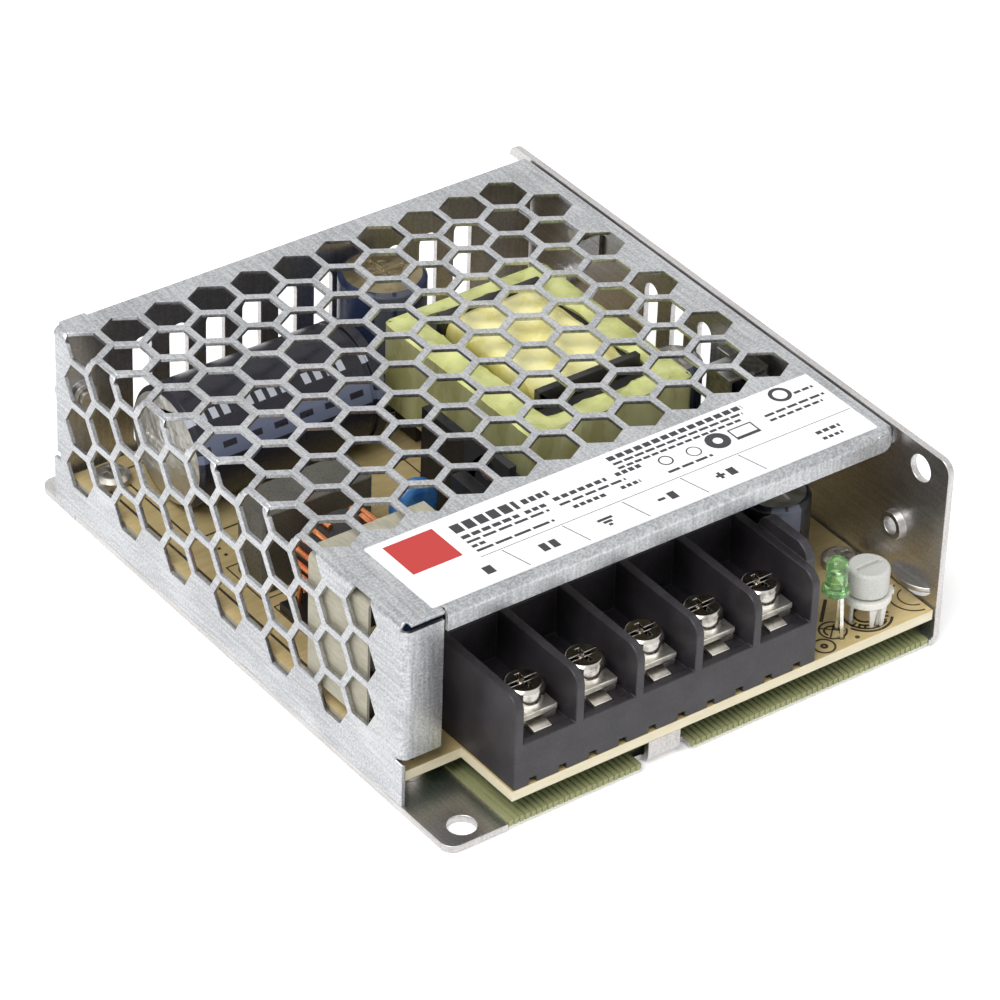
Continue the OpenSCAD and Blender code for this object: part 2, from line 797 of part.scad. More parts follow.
// Band of tape round the core, turned in over the tops of its legs and yokes
module transformer_tape() {
    color("darkkhaki") in_frame() {
        translate([0, 0, core_z[0]]) linear_extrude(core_z[1] - core_z[0])
            difference() {
                round_rect([tr_x0, tr_y0], [tr_x1, tr_y1], 1);
                translate([tr_x0 + tape_t, tr_y0 + tape_t])
                    square([tr_x1 - tr_x0 - 2 * tape_t, tr_y1 - tr_y0 - 2 * tape_t]);
            }
        translate([0, 0, core_z[1] - turn_in_t]) linear_extrude(turn_in_t)
            difference() {
                round_rect([tr_x0, tr_y0], [tr_x1, tr_y1], 1);
                translate([tr_x0 + turn_in_x, tr_y0 + turn_in_y])
                    square([tr_x1 - tr_x0 - 2 * turn_in_x, tr_y1 - tr_y0 - 2 * turn_in_y]);
            }
    }
}

sleeve_t = 0.8;
flange_t = 1.2;

// Sleeve round the centre post, end flanges, and the pin rails under both yokes
module transformer_bobbin() {
    color([0.15, 0.14, 0.13]) in_frame() {
        along_y(window_y[0], window_y[1] - window_y[0]) sleeve_2d(0, sleeve_t);
        for (y = [window_y[0], window_y[1] - flange_t])
            along_y(y, flange_t) sleeve_2d(0, window_x - 0.2, 2.7);
        for (y = [tr_y0 + 0.6, tr_y1 - 5.6])
            box([tr_x0 + 2, y, board_top + 0.4], [tr_x1 - 2, y + 5, core_z[0] - 0.1]);
        for (y = [window_y[0] - 0.5, window_y[1] - 1.1])
            box([tr_mid - 8, y, board_top + 0.4], [tr_mid + 8, y + 1.6, core_z[0] + 0.2]);
        for (x = tr_pins, y = [tr_y0 + 3, tr_y1 - 3])
            translate([x, y, lead_end]) cylinder(r = 0.45, h = board_top + 1 - lead_end);
    }
}

// Frame round the centre post in X and Z, from inset a to outset b
module sleeve_2d(a, b, up = -1) {
    rise = up < 0 ? b : up;
    post_z = [core_z[0] + 0.4, core_z[1] - 0.5];
    difference() {
        translate([tr_mid - post_w / 2 - b, post_z[0] - rise])
            square([post_w + 2 * b, post_z[1] - post_z[0] + 2 * rise]);
        translate([tr_mid - post_w / 2 - a, post_z[0] - a])
            square([post_w + 2 * a, post_z[1] - post_z[0] + 2 * a]);
    }
}

module transformer_winding() {
    color("gold") in_frame()
        along_y(window_y[0] + flange_t, window_y[1] - window_y[0] - 2 * flange_t)
            difference() {
                offset_rect(window_x - 0.4, 2.4);
                translate([tr_mid - post_w / 2 - sleeve_t, core_z[0] + 0.4 - sleeve_t])
                    square([post_w + 2 * sleeve_t,
                            core_z[1] - core_z[0] - 0.9 + 2 * sleeve_t]);
            }
}

// Outline of the winding, with soft corners
module offset_rect(side, rise) {
    round_rect([tr_mid - post_w / 2 - side, core_z[0] + 0.4 - rise],
               [tr_mid + post_w / 2 + side, core_z[1] - 0.5 + rise], 1.6);
}

// ================= capacitors =================
bulk_z = board_top + bulk_r;
bulk_pin_x = bulk_x1 + 1.4;

// Can of a radial electrolytic standing on its seal, with a rolled groove and a vent cross
module can(r, h) {
    difference() {
        union() {
            cylinder(r = r, h = h - 0.6);
            translate([0, 0, h - 0.6]) cylinder(r1 = r, r2 = r - 0.6, h = 0.6);
        }
        translate([0, 0, 1.6])
            difference() {
                cylinder(r = r + 1, h = 0.9);
                translate([0, 0, -1]) cylinder(r = r - 0.5, h = 3);
            }
        translate([0, 0, h - 0.3]) cross_recess(r * 1.1, 0.01);
    }
}

module bulk_capacitor() {
    color([0.2, 0.2, 0.24]) in_frame() {
        translate([bulk_x1, bulk_y, bulk_z]) rotate([0, -90, 0])
            can(bulk_r, bulk_x1 - bulk_x0);
        for (s = [-1, 1])
            translate([0, bulk_y + s * 3.75, 0]) {
                translate([bulk_x1 - 0.5, 0, bulk_z]) rotate([0, 90, 0])
                    cylinder(r = 0.4, h = bulk_pin_x - bulk_x1 + 0.5);
                translate([bulk_pin_x, 0, lead_end]) cylinder(r = 0.4, h = bulk_z - lead_end);
                translate([bulk_pin_x, 0, bulk_z]) sphere(r = 0.4);
            }
    }
}

module output_capacitor(c) {
    color("midnightblue") in_frame() translate([c.x, c.y, 0]) {
        translate([0, 0, board_top]) can(c.z, c[3] - board_top);
        for (s = [-1, 1])
            translate([0, s * c.z / 2.6, lead_end])
                cylinder(r = lead_r, h = board_top + 1 - lead_end);
    }
}

xcap_x = [7.6, 25.4];
xcap_w = 7;
xcap_top = 18.6;
xcap_pins = [xcap_x[0] + 1.4, xcap_x[1] - 1.4];

module x_capacitor() {
    color([0.3, 0.3, 0.33]) in_frame() {
        translate([0, 0, board_top])
            linear_extrude(xcap_top - board_top)
                round_rect([xcap_x[0], xcap_y - xcap_w / 2], [xcap_x[1], xcap_y + xcap_w / 2],
                           0.8);
        for (x = xcap_pins)
            translate([x, xcap_y, lead_end])
                cylinder(r = lead_r, h = board_top + 1 - lead_end);
    }
}

// Disc parts: [x, y, radius, thickness]
disc_pin = 2.5;
discs = [[32.2, 53.6, 3.9, 3], [25.4, 33.6, 5, 3.6], [15.6, 30.6, 4.6, 3.6]];

// Dipped disc on edge, facing along Y, with rounded rim and two leads
module disc(d) {
    mid = board_top + 1.6 + d.z;
    in_frame() translate([d.x, d.y, 0]) {
        translate([0, 0, mid]) rotate([90, 0, 0])
            rotate_extrude() {
                translate([0, -d[3] / 2]) square([d.z - d[3] / 2, d[3]]);
                intersection() {
                    translate([d.z - d[3] / 2, 0]) circle(r = d[3] / 2);
                    translate([0, -d[3]]) square(2 * d[3] + d.z);
                }
            }
        for (s = [-1, 1])
            translate([s * disc_pin, 0, lead_end])
                cylinder(r = lead_r, h = board_top + 4 - lead_end);
    }
}

module y_capacitor() {
    color("steelblue") disc(discs[0]);
}

module thermistor() {
    color("darkolivegreen") disc(discs[1]);
}

module varistor() {
    color("royalblue") disc(discs[2]);
}

// ================= line choke =================
choke_x = 14.5;
choke_r = 6;
choke_bore = 3;
choke_w = 6;
choke_z = board_top + 1.6 + 7.2;
choke_pins = [choke_x - 5, choke_x + 5];
turns = 9;
turn_step = 15;
wire = 0.9;

module choke_frame() {
    in_frame() translate([choke_x, choke_y, choke_z]) rotate([90, 0, 0]) children();
}

module line_choke_core() {
    color("black") choke_frame()
        translate([0, 0, -choke_w / 2])
            difference() {
                cylinder(r = choke_r, h = choke_w);
                translate([0, 0, -1]) cylinder(r = choke_bore, h = choke_w + 2);
            }
}

// Each turn is a loop with clipped corners round the core's section
module line_choke_winding() {
    color("chocolate") choke_frame()
        for (side = [0, 180], i = [0 : turns - 1])
            rotate(side + (i - (turns - 1) / 2) * turn_step)
                translate([(choke_r + choke_bore) / 2, 0, 0]) rotate([90, 0, 0])
                    turn_loop((choke_r - choke_bore) / 2, choke_w / 2);
}

module turn_loop(a, b) {
    gap = 0.05;
    translate([0, 0, -wire / 2]) linear_extrude(wire)
        difference() {
            round_rect([-a - gap - wire, -b - gap - wire], [a + gap + wire, b + gap + wire],
                       wire, $fn = 8);
            translate([-a - gap, -b - gap]) square([2 * (a + gap), 2 * (b + gap)]);
        }
}

module line_choke_base() {
    color([0.12, 0.12, 0.12]) in_frame() {
        box([choke_x - 7.2, choke_y - 5, board_top],
            [choke_x + 7.2, choke_y + 5, board_top + 1.4]);
        for (x = choke_pins, y = [choke_y - 3.5, choke_y + 3.5])
            translate([x, y, lead_end]) cylinder(r = 0.4, h = board_top + 0.5 - lead_end);
    }
}

// ================= small parts =================
fuse_x = 8;
fuse_y = 23.4;
bridge_x = 39;
bridge_y = 33;
fet_x = 36;
fet_y = 43.8;
diode_x = 74.6;
diode_y = 38.6;
chip_x = 40;
chip_y = 24;
opto_x = 50;
opto_y = 36;
coil_x = 60;
coil_y = 30;

module fuse() {
    color("black") in_frame() translate([fuse_x, fuse_y, 0]) {
        translate([0, 0, board_top]) cylinder(r = 4.2, h = 7);
        translate([0, 0, board_top + 7.1]) cylinder(r1 = 4.2, r2 = 3.8, h = 0.5);
        for (s = [-1, 1])
            translate([0, s * 2.54, lead_end])
                cylinder(r = lead_r, h = board_top + 1 - lead_end);
    }
}

// Flat package with its leads in one row
module bridge_rectifier() {
    color([0.16, 0.16, 0.17]) in_frame() {
        translate([0, bridge_y + 1.8, 0])
            along_y(-3.6, 3.6)
                difference() {
                    translate([bridge_x - 7.4, board_top + 3]) square([14.8, 10.6]);
                    translate([bridge_x - 7.4, board_top + 13.6]) rotate(45)
                        square(3, center = true);
                    translate([bridge_x, board_top + 9]) circle(r = 1.6);
                }
        for (i = [0 : 3])
            translate([bridge_x + (i - 1.5) * 3.8, bridge_y, lead_end])
                cylinder(r = lead_r, h = board_top + 4 - lead_end);
    }
}

// TO-220 package at the origin, standing on its leads, tab on the +X side
tab_t = 1.3;
pack_t = 3.4;
module power_package() {
    difference() {
        union() {
            box([1, -5.1, 3], [1 + tab_t, 5.1, 18]);
            box([1 + tab_t - pack_t, -5, 3], [1 + eps, 5, 12]);
        }
        translate([0, 0, 15.2]) rotate([0, 90, 0]) cylinder(r = 1.8, h = 5);
    }
    for (i = [-1 : 1])
        translate([-0.35, i * 2.54 - 0.35, lead_end - board_top])
            cube([0.5, 0.7, 4 + board_top - lead_end]);
}

sink_gap = 0.05;
module heatsink(x, y0, y1, t, foot, top) {
    along_y(y0, y1 - y0) {
        translate([x, board_top]) square([t, top - board_top - 0.1]);
        translate([min(x, x + foot), board_top]) square([abs(foot), t]);
    }
}

module switch_transistor() {
    color([0.18, 0.18, 0.19]) in_frame()
        translate([fet_x, fet_y, board_top]) power_package();
}

module switch_heatsink() {
    color([0.2, 0.2, 0.21]) in_frame()
        heatsink(fet_x + 1 + tab_t + sink_gap, 37.4, 60.7, 1.6, 3.6, 21);
}

module output_diode() {
    color([0.18, 0.18, 0.19]) in_frame()
        translate([diode_x, diode_y, board_top]) power_package();
}

module diode_heatsink() {
    color("silver") in_frame()
        heatsink(diode_x + 1 + tab_t + sink_gap, diode_y - 6, diode_y + 6, 1.6, 1.6, 25.6);
}

// Spring clip that presses the diode on its heatsink, hooked over the top edge
module diode_clip() {
    clip_t = 0.6;
    back = diode_x + 1 + tab_t + sink_gap;
    color("gainsboro") in_frame()
        along_y(diode_y - 2.5, 5) {
            translate([back + 1.6 + 0.05, 21]) square([clip_t, 4.7 + clip_t]);
            translate([diode_x - 2.2, 25.65]) square([back + 1.65 + clip_t - diode_x + 2.2, clip_t]);
            translate([diode_x - 2.2, 14]) square([clip_t, 11.65 + clip_t]);
            translate([diode_x - 2.2, 14]) square([0.9, clip_t]);
        }
}

// Dual in-line package with n leads a side, 7.62 mm between the rows
module dual_inline(x, y, n, body_w, h) {
    reach = 3.81;
    translate([x, y, 0]) {
        difference() {
            box([-n * 1.27 - 0.6, -body_w / 2, board_top + 0.6],
                [n * 1.27 + 0.6, body_w / 2, board_top + 0.6 + h]);
            translate([-n * 1.27 - 0.6, 0, board_top + h]) cylinder(r = 0.8, h = 2);
        }
        for (i = [0 : n - 1], s = [-1, 1])
            translate([(i - (n - 1) / 2) * 2.54, s * reach, 0]) {
                box([-0.3, -0.15, lead_end], [0.3, 0.15, board_top + 2.2]);
                box([-0.5, s > 0 ? -reach + body_w / 2 - eps : -0.15, board_top + 1.9],
                    [0.5, s > 0 ? 0.15 : reach - body_w / 2 + eps, board_top + 2.2]);
            }
    }
}

module controller_chip() {
    color([0.15, 0.15, 0.16]) in_frame() dual_inline(chip_x, chip_y, 4, 6.4, 3.3);
}

module optocoupler() {
    color("white") in_frame() dual_inline(opto_x, opto_y, 2, 6.4, 3.3);
}

coil_r = 5.2;
coil_h = 11;

module output_choke_core() {
    color("dimgray") in_frame() translate([coil_x, coil_y, board_top]) {
        cylinder(r = coil_r, h = 1.6);
        cylinder(r = coil_r - 2.6, h = coil_h);
        translate([0, 0, coil_h - 1.6]) cylinder(r = coil_r, h = 1.6);
        for (s = [-1, 1])
            translate([0, s * 2.5, lead_end - board_top - 0.1])
                cylinder(r = 0.4, h = board_top + 0.6 - lead_end);
    }
}

// Turns of thick wire between the drum's flanges
module output_choke_winding() {
    color("chocolate") in_frame() translate([coil_x, coil_y, board_top + 2.25])
        rotate_extrude()
            for (i = [0 : 6])
                translate([coil_r - 1.5, i * 1.08]) circle(r = 0.58, $fn = 16);
}

chassis();
cover();
rating_label();
base_insulation_sheet();
side_insulation_sheet();
circuit_board();
terminal_housing();
for (i = [0 : ways - 1]) {
    terminal_contact(i);
    terminal_clamp(i);
    terminal_screw(i);
}
led_lamp();
led_leads();
trimmer_base();
trimmer_knob();
trimmer_legs();
transformer_core();
transformer_bobbin();
transformer_winding();
transformer_tape();
bulk_capacitor();
for (i = [0 : len(out_caps) - 1])
    output_capacitor(out_caps[i]);
line_choke_core();
line_choke_winding();
line_choke_base();
x_capacitor();
y_capacitor();
fuse();
thermistor();
varistor();
bridge_rectifier();
switch_transistor();
switch_heatsink();
output_diode();
diode_heatsink();
diode_clip();
controller_chip();
optocoupler();
output_choke_core();
output_choke_winding();
board_standoffs();
board_screws();
cover_screws();
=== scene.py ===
"""Mesh-case switching power supply: finishes, print, threads, windings, tape and solder.

Places are in millimetres from the front left bottom corner of the case, which is the lowest
corner of the chassis; piece() turns them into metres in the frame.
"""
import json
import math

import bmesh
import bpy
import numpy as np
from mathutils import Matrix, Vector
from mathutils.bvhtree import BVHTree

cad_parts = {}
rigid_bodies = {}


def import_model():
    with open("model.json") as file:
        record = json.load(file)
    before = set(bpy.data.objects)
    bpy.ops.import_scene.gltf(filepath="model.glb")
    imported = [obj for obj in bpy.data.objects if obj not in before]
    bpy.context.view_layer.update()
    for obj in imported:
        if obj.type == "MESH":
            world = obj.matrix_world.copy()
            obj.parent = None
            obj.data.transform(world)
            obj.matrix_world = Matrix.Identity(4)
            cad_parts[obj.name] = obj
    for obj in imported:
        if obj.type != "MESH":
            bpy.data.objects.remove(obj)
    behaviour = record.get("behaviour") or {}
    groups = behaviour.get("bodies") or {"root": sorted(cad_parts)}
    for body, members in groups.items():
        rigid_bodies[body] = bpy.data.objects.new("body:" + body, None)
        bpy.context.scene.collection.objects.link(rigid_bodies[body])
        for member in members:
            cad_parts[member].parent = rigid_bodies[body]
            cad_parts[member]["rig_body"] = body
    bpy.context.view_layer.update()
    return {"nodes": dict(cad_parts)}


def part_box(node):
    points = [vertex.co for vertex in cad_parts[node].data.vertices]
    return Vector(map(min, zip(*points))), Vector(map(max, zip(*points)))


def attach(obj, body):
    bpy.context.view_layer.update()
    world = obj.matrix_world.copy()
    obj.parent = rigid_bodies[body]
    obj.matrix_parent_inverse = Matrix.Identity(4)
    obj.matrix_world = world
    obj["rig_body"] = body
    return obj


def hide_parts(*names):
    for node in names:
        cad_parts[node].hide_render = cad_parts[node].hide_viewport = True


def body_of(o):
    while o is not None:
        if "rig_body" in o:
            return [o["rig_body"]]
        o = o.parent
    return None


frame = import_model()

MM = 0.001
CORNER = np.array(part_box("chassis")[0])
NODES = frame["nodes"]


# ---------------------------------------------------------------- camera, floor and light
CAMERA_AT = Vector((-0.34073, -0.45183, 0.40916))
AZIMUTH, ELEVATION, ROLL = math.radians(-37.41), math.radians(35.13), math.radians(2.08)
FOCAL_IN_FRAMES = 5.04322          # focal length over the width of the frame
SENSOR_MM = 36.0
SHIFT = (-0.01124, -0.00034)

WORLD_LIGHT = 0.33                 # what the surroundings light with; they are seen as full white
FLOOR_HALF = 0.9
FLOOR_DOWN = 0.0002                # just under the case, so that the two never share a plane
FLOOR_GLOW = 0.24
LAMPS = [                          # name, place, size, watts, seen in reflections
    ("key", (-0.74, -0.3, 1.22), (0.9, 0.9), 17, True),
    ("fill", (0.7, -0.9, 0.75), (1.0, 0.8), 4.8, False),
    ("rim", (0.2, 1.2, 0.9), (1.2, 0.6), 7, False),
]
LAMPS_AIM = Vector((0, 0, 0.015))


def make_camera():
    """A camera turned by azimuth, elevation and roll about its own place."""
    back = Vector((math.sin(AZIMUTH) * math.cos(ELEVATION),
                   -math.cos(AZIMUTH) * math.cos(ELEVATION), math.sin(ELEVATION)))
    right = (-back).cross(Vector((0, 0, 1))).normalized()
    up = right.cross(-back)
    c, s = math.cos(ROLL), math.sin(ROLL)
    axis_x = right * c + up * s
    axis_y = up * c - right * s
    data = bpy.data.cameras.new("camera")
    data.sensor_width = SENSOR_MM
    data.lens = FOCAL_IN_FRAMES * SENSOR_MM
    data.shift_x, data.shift_y = SHIFT
    data.clip_start, data.clip_end = 0.01, 20.0
    camera = bpy.data.objects.new("camera", data)
    camera.matrix_world = Matrix((
        (axis_x.x, axis_y.x, back.x, CAMERA_AT.x), (axis_x.y, axis_y.y, back.y, CAMERA_AT.y),
        (axis_x.z, axis_y.z, back.z, CAMERA_AT.z), (0, 0, 0, 1)))
    bpy.context.scene.collection.objects.link(camera)
    bpy.context.scene.camera = camera


def add_light(name, place, size, watts, mirrored):
    """A rectangular lamp that faces the middle of the case."""
    data = bpy.data.lights.new(name, "AREA")
    data.shape = "RECTANGLE"
    data.size, data.size_y = size
    data.energy = watts
    lamp = bpy.data.objects.new(name, data)
    lamp.visible_glossy = mirrored
    turn = (LAMPS_AIM - Vector(place)).normalized().to_track_quat("-Z", "Y")
    lamp.matrix_world = Matrix.Translation(place) @ turn.to_matrix().to_4x4()
    bpy.context.scene.collection.objects.link(lamp)


# ---------------------------------------------------------------- shader building blocks
class Val:
    """A number from a socket; each operation on it adds one Math node to its tree."""

    def __init__(self, tree, socket):
        self.tree = tree
        self.socket = socket

    def math(self, operation, *others):
        """One Math node of this value and the others."""
        node = self.tree.nodes.new("ShaderNodeMath")
        node.operation = operation
        for slot, value in enumerate((self,) + others):
            if isinstance(value, Val):
                self.tree.links.new(value.socket, node.inputs[slot])
            else:
                node.inputs[slot].default_value = value
        return Val(self.tree, node.outputs[0])

    def const(self, number):
        """A fixed number in the same tree."""
        node = self.tree.nodes.new("ShaderNodeValue")
        node.outputs[0].default_value = number
        return Val(self.tree, node.outputs[0])

    def __add__(self, other): return self.math("ADD", other)
    def __sub__(self, other): return self.math("SUBTRACT", other)
    def __rsub__(self, other): return self.const(other).math("SUBTRACT", self)
    def __mul__(self, other): return self.math("MULTIPLY", other)
    def __lt__(self, other): return self.math("LESS_THAN", other)
    def __gt__(self, other): return self.math("GREATER_THAN", other)
    def __abs__(self): return self.math("ABSOLUTE")

    def either(self, other): return self.math("MAXIMUM", other)
    def mod(self, step): return self.math("FLOORED_MODULO", step)

    def between(self, low, high):
        """1 above low and below high, 0 elsewhere."""
        return (self > low) * (self < high)

    def ramp(self, low, high):
        """0 below low, 1 above high, smooth between."""
        node = self.tree.nodes.new("ShaderNodeMapRange")
        node.interpolation_type = "SMOOTHSTEP"
        self.tree.links.new(self.socket, node.inputs["Value"])
        node.inputs["From Min"].default_value = low
        node.inputs["From Max"].default_value = high
        return Val(self.tree, node.outputs[0])


def linear(r, g, b):
    """A colour as seen on a screen, 0 to 255 a channel, as the linear light that Blender mixes."""
    def channel(c):
        c /= 255
        return c / 12.92 if c <= 0.04045 else ((c + 0.055) / 1.055) ** 2.4
    return (channel(r), channel(g), channel(b), 1.0)


class Look:
    """One material: a Principled shader, with places in millimetres from the case's corner."""

    def __init__(self, name, colour=(128, 128, 128), rough=0.5, metal=0.0, **fixed):
        self.material = bpy.data.materials.new(name)
        self.material.use_nodes = True
        self.tree = self.material.node_tree
        self.shader = self.tree.nodes["Principled BSDF"]
        self.set("Base Color", linear(*colour))
        self.set("Roughness", rough)
        self.set("Metallic", metal)
        for key, value in fixed.items():
            self.set(key.replace("_", " "), value)
        place = self.node("ShaderNodeTexCoord").outputs["Object"]
        shift = tuple((-CORNER / MM).tolist())
        self.mm = self.node("ShaderNodeVectorMath", {"operation": "MULTIPLY_ADD"},
                            {0: place, 1: (1 / MM,) * 3, 2: shift}).outputs[0]
        parts = self.node("ShaderNodeSeparateXYZ", {}, {0: self.mm}).outputs
        self.x, self.y, self.z = (Val(self.tree, p) for p in parts)

    def node(self, kind, settings=None, inputs=None):
        """Adds a node: its settings first, then the values or links of its sockets."""
        made = self.tree.nodes.new(kind)
        for key, value in (settings or {}).items():
            setattr(made, key, value)
        for key, value in (inputs or {}).items():
            self.fill(made.inputs[key], value)
        return made

    def fill(self, socket, value):
        """Links a socket or a Val to this socket, or gives it a constant."""
        if isinstance(value, Val):
            value = value.socket
        if isinstance(value, bpy.types.NodeSocket):
            self.tree.links.new(value, socket)
        else:
            socket.default_value = value

    def set(self, key, value):
        """One setting of the shader, by the name it has on the shader."""
        self.fill(self.shader.inputs[key], value)

    def noise(self, size, stretch=(1, 1, 1), detail=2.0):
        """Cloudy noise, 0 to 1, whose patches are about size millimetres across."""
        scaled = self.node("ShaderNodeVectorMath", {"operation": "DIVIDE"},
                           {0: self.mm, 1: tuple(size * s for s in stretch)}).outputs[0]
        return Val(self.tree, self.node("ShaderNodeTexNoise", {},
                                        {"Vector": scaled, "Scale": 1.0,
                                         "Detail": detail}).outputs["Fac"])

    def facing(self):
        """The surface's own direction, as three numbers."""
        normal = self.node("ShaderNodeNewGeometry").outputs["True Normal"]
        parts = self.node("ShaderNodeSeparateXYZ", {}, {0: normal}).outputs
        return [Val(self.tree, p) for p in parts]

    def mix(self, mask, first, second):
        """First where mask is 0 and second where it is 1; colours as seen on a screen."""
        def colour(c):
            return linear(*c) if isinstance(c, tuple) else c
        return self.node("ShaderNodeMix", {"data_type": "RGBA"},
                         {0: mask, 6: colour(first), 7: colour(second)}).outputs[2]

    def paint(self, mask, first, second):
        """The surface's colour: first where mask is 0 and second where it is 1."""
        self.set("Base Color", self.mix(mask, first, second))

    def bump(self, height, depth, strength=1.0):
        """Raises the surface by height times depth, in millimetres."""
        made = self.node("ShaderNodeBump", {}, {"Height": height, "Distance": depth * MM,
                                                "Strength": strength})
        self.set("Normal", made.outputs[0])


# ---------------------------------------------------------------- looks
def zinc_sheet(name, light, dark, rough=0.2):
    """Zinc-coated sheet: a fine even grain over broad faint clouds and rolling streaks, which
    run from front to back, and upright where the sheet is folded at its front and back."""
    look = Look(name, metal=1.0)
    grain = look.noise(0.34, detail=4.0)
    folded = abs(look.facing()[1]) > 0.7
    streaks = (look.noise(0.5, (1, 14, 1)) * (1 - folded) + look.noise(0.5, (1, 1, 14)) * folded)
    clouds = look.noise(13)
    tone = grain * 0.5 + streaks * 0.3 + clouds * 0.2
    look.paint(tone.ramp(0.36, 0.64), dark, light)
    look.set("Roughness", grain * 0.14 + clouds * 0.08 + rough)
    look.bump(grain, 0.016, 0.8)
    return look


def moulded(name, colour, paler, rough=0.45, grain=0.25, **fixed):
    """Moulded plastic with a fine spark-eroded grain."""
    look = Look(name, **fixed)
    clouds = look.noise(5)
    fine = look.noise(grain, detail=4.0)
    tone = clouds * 0.45 + fine * 0.55
    look.paint(tone.ramp(0.36, 0.66), colour, paler)
    look.set("Roughness", fine * 0.2 + (rough - 0.1))
    look.bump(fine, 0.022, 0.7)
    return look


def plated(name, colour, darker, rough=0.2, metal=1.0, size=1.2):
    """Plated or drawn metal with soft patches of tarnish."""
    look = Look(name, metal=metal)
    patches = look.noise(size, detail=4.0)
    look.paint(patches.ramp(0.4, 0.75), colour, darker)
    look.set("Roughness", patches * 0.2 + (rough - 0.1))
    look.bump(patches, 0.01, 0.5)
    return look


def sleeve(name, colour, centre, radius, stripe, stripe_at, ends, bars_at=None,
           can=(206, 204, 198)):
    """Shrink sleeve of an electrolytic: glossy film, one pale stripe, bare can past its edge.

    The can's axis runs along ends[0] from ends[1] to ends[2]. The stripe is where the angle
    about the axis is within stripe_at, and a row of plain bars stands where it is within bars_at;
    both are a middle and a half width in radians.
    """
    look = Look(name, Specular_IOR_Level=0.35)
    axis, low, high = ends
    places = [look.x, look.y, look.z]
    along = places.pop("xyz".index(axis))
    first, second = places
    a, b = first - centre[0], second - centre[1]
    angle = b.math("ARCTAN2", a)
    reach = (a * a + b * b).math("SQRT")
    film_lap, film_thick = 0.75, 0.35           # what the film covers of the can's ends
    bare = (reach < radius - film_lap) * ((along < low + film_thick).either(
        along > high - film_thick))
    film = look.mix(abs(angle - stripe_at[0]) < stripe_at[1], colour, stripe)
    marks = (abs(angle - stripe_at[0]) < 0.05) * (along.mod(4.2) < 2.2)
    film = look.mix(marks, film, colour)
    if bars_at:
        bars = (abs(angle - bars_at[0]) < bars_at[1]) * ((along - low).mod(9.4) < 7.6)
        film = look.mix(bars * ((along - low).mod(1.9) < 1.1), film, (196, 200, 210))
    look.paint(bare, film, can)
    look.set("Metallic", bare * 0.95)
    wrinkle = look.noise(1.6)
    crinkle = look.noise(2.2, detail=3.0) * bare * 14 + wrinkle
    look.set("Roughness", wrinkle * 0.2 + bare * 0.05 + 0.2)
    look.bump(crinkle, 0.05, 0.6)
    return look


def film_tape(name, side, shaded_side_deep, top, lit_top_deep):
    """Polyester tape: olive where it stands on edge and bright where it lies; the olive is painted
    shade on the upright faces and the bright is painted light on the lying ones.
    """
    look = Look(name, rough=0.25, Coat_Weight=0.3, Coat_Roughness=0.2)
    patch = look.noise(3.2, (1, 1, 2.4), 3.0)
    fibre = look.noise(0.35, (6, 6, 1), 2.0)
    # painted light and shade: faces that lie flat take the lit top colours, upright faces the
    # shaded side colours
    lit_top_mask = abs(look.facing()[2]).ramp(0.45, 0.75)
    # side is the painted shade colour of the upright faces, top the painted light colour of the
    # lying faces
    shaded_side_colour = look.mix(patch.ramp(0.3, 0.75), shaded_side_deep, side)
    lit_top_colour = look.mix(patch.ramp(0.3, 0.7), lit_top_deep, top)
    look.paint(lit_top_mask, shaded_side_colour, lit_top_colour)
    look.set("Roughness", patch * 0.25 + 0.16)
    look.bump(patch * 0.7 + fibre * 0.3, 0.08, 0.6)
    return look


def copper_wire(name, colour, darker):
    """Enamelled copper."""
    look = Look(name, metal=0.9, Coat_Weight=0.5, Coat_Roughness=0.1)
    shade = look.noise(1.4)
    look.paint(shade.ramp(0.3, 0.7), colour, darker)
    look.set("Roughness", shade * 0.2 + 0.15)
    return look


BOARD_BOTTOM, BOARD_TOP = 4.2, 5.8


def laminate():
    """Paper laminate: straw-coloured and fibrous above, cream at the cut edge, green lacquer and
    copper tracks below."""
    look = Look("board_laminate", Coat_Weight=0.12)
    fibre = look.noise(0.7, (5, 1, 1), 4.0)
    cloud = look.noise(12)
    grain = fibre * 0.6 + cloud * 0.4
    top = look.mix(grain.ramp(0.3, 0.7), (208, 188, 138), (191, 168, 115))
    side = look.mix(fibre, (230, 222, 196), (214, 202, 170))
    sides = look.mix(abs(look.facing()[2]) < 0.5, top, side)
    tracks = look.noise(7, (2.2, 1, 1), 0.5)
    lacquer = look.mix(tracks.between(0.44, 0.56), (48, 86, 58), (74, 122, 78))
    under = look.mix(fibre * 0.4, lacquer, (40, 74, 50))
    look.paint(look.z < BOARD_BOTTOM + 0.05, sides, under)
    look.set("Roughness", fibre * 0.2 + 0.42)
    look.bump(fibre, 0.02, 0.5)
    return look


def ribbed_sheet():
    """Extruded sheet with low ribs, translucent yellow-green. The rib tops carry a painted
    highlight, and the lowest half millimetre a pale painted highlight along the bottom edge.
    """
    look = Look("ribbed_sheet_green", Coat_Weight=0.2, Coat_Roughness=0.3)
    cloud = look.noise(6)
    fine = look.noise(0.5, (1, 6, 1), 2.0)
    body = look.mix((cloud * 0.7 + fine * 0.3).ramp(0.3, 0.7), (136, 138, 92), (152, 154, 108))
    # painted highlight: the rib tops are painted a little lighter than the grooves
    ribs = look.mix(look.z > 1.32, body, (150, 152, 110))
    # painted highlight: the lowest half millimetre is painted near white along the bottom edge
    look.paint(look.z < 0.5, ribs, (222, 222, 204))
    look.set("Roughness", cloud * 0.2 + 0.35)
    look.bump(fine, 0.02, 0.5)
    return look


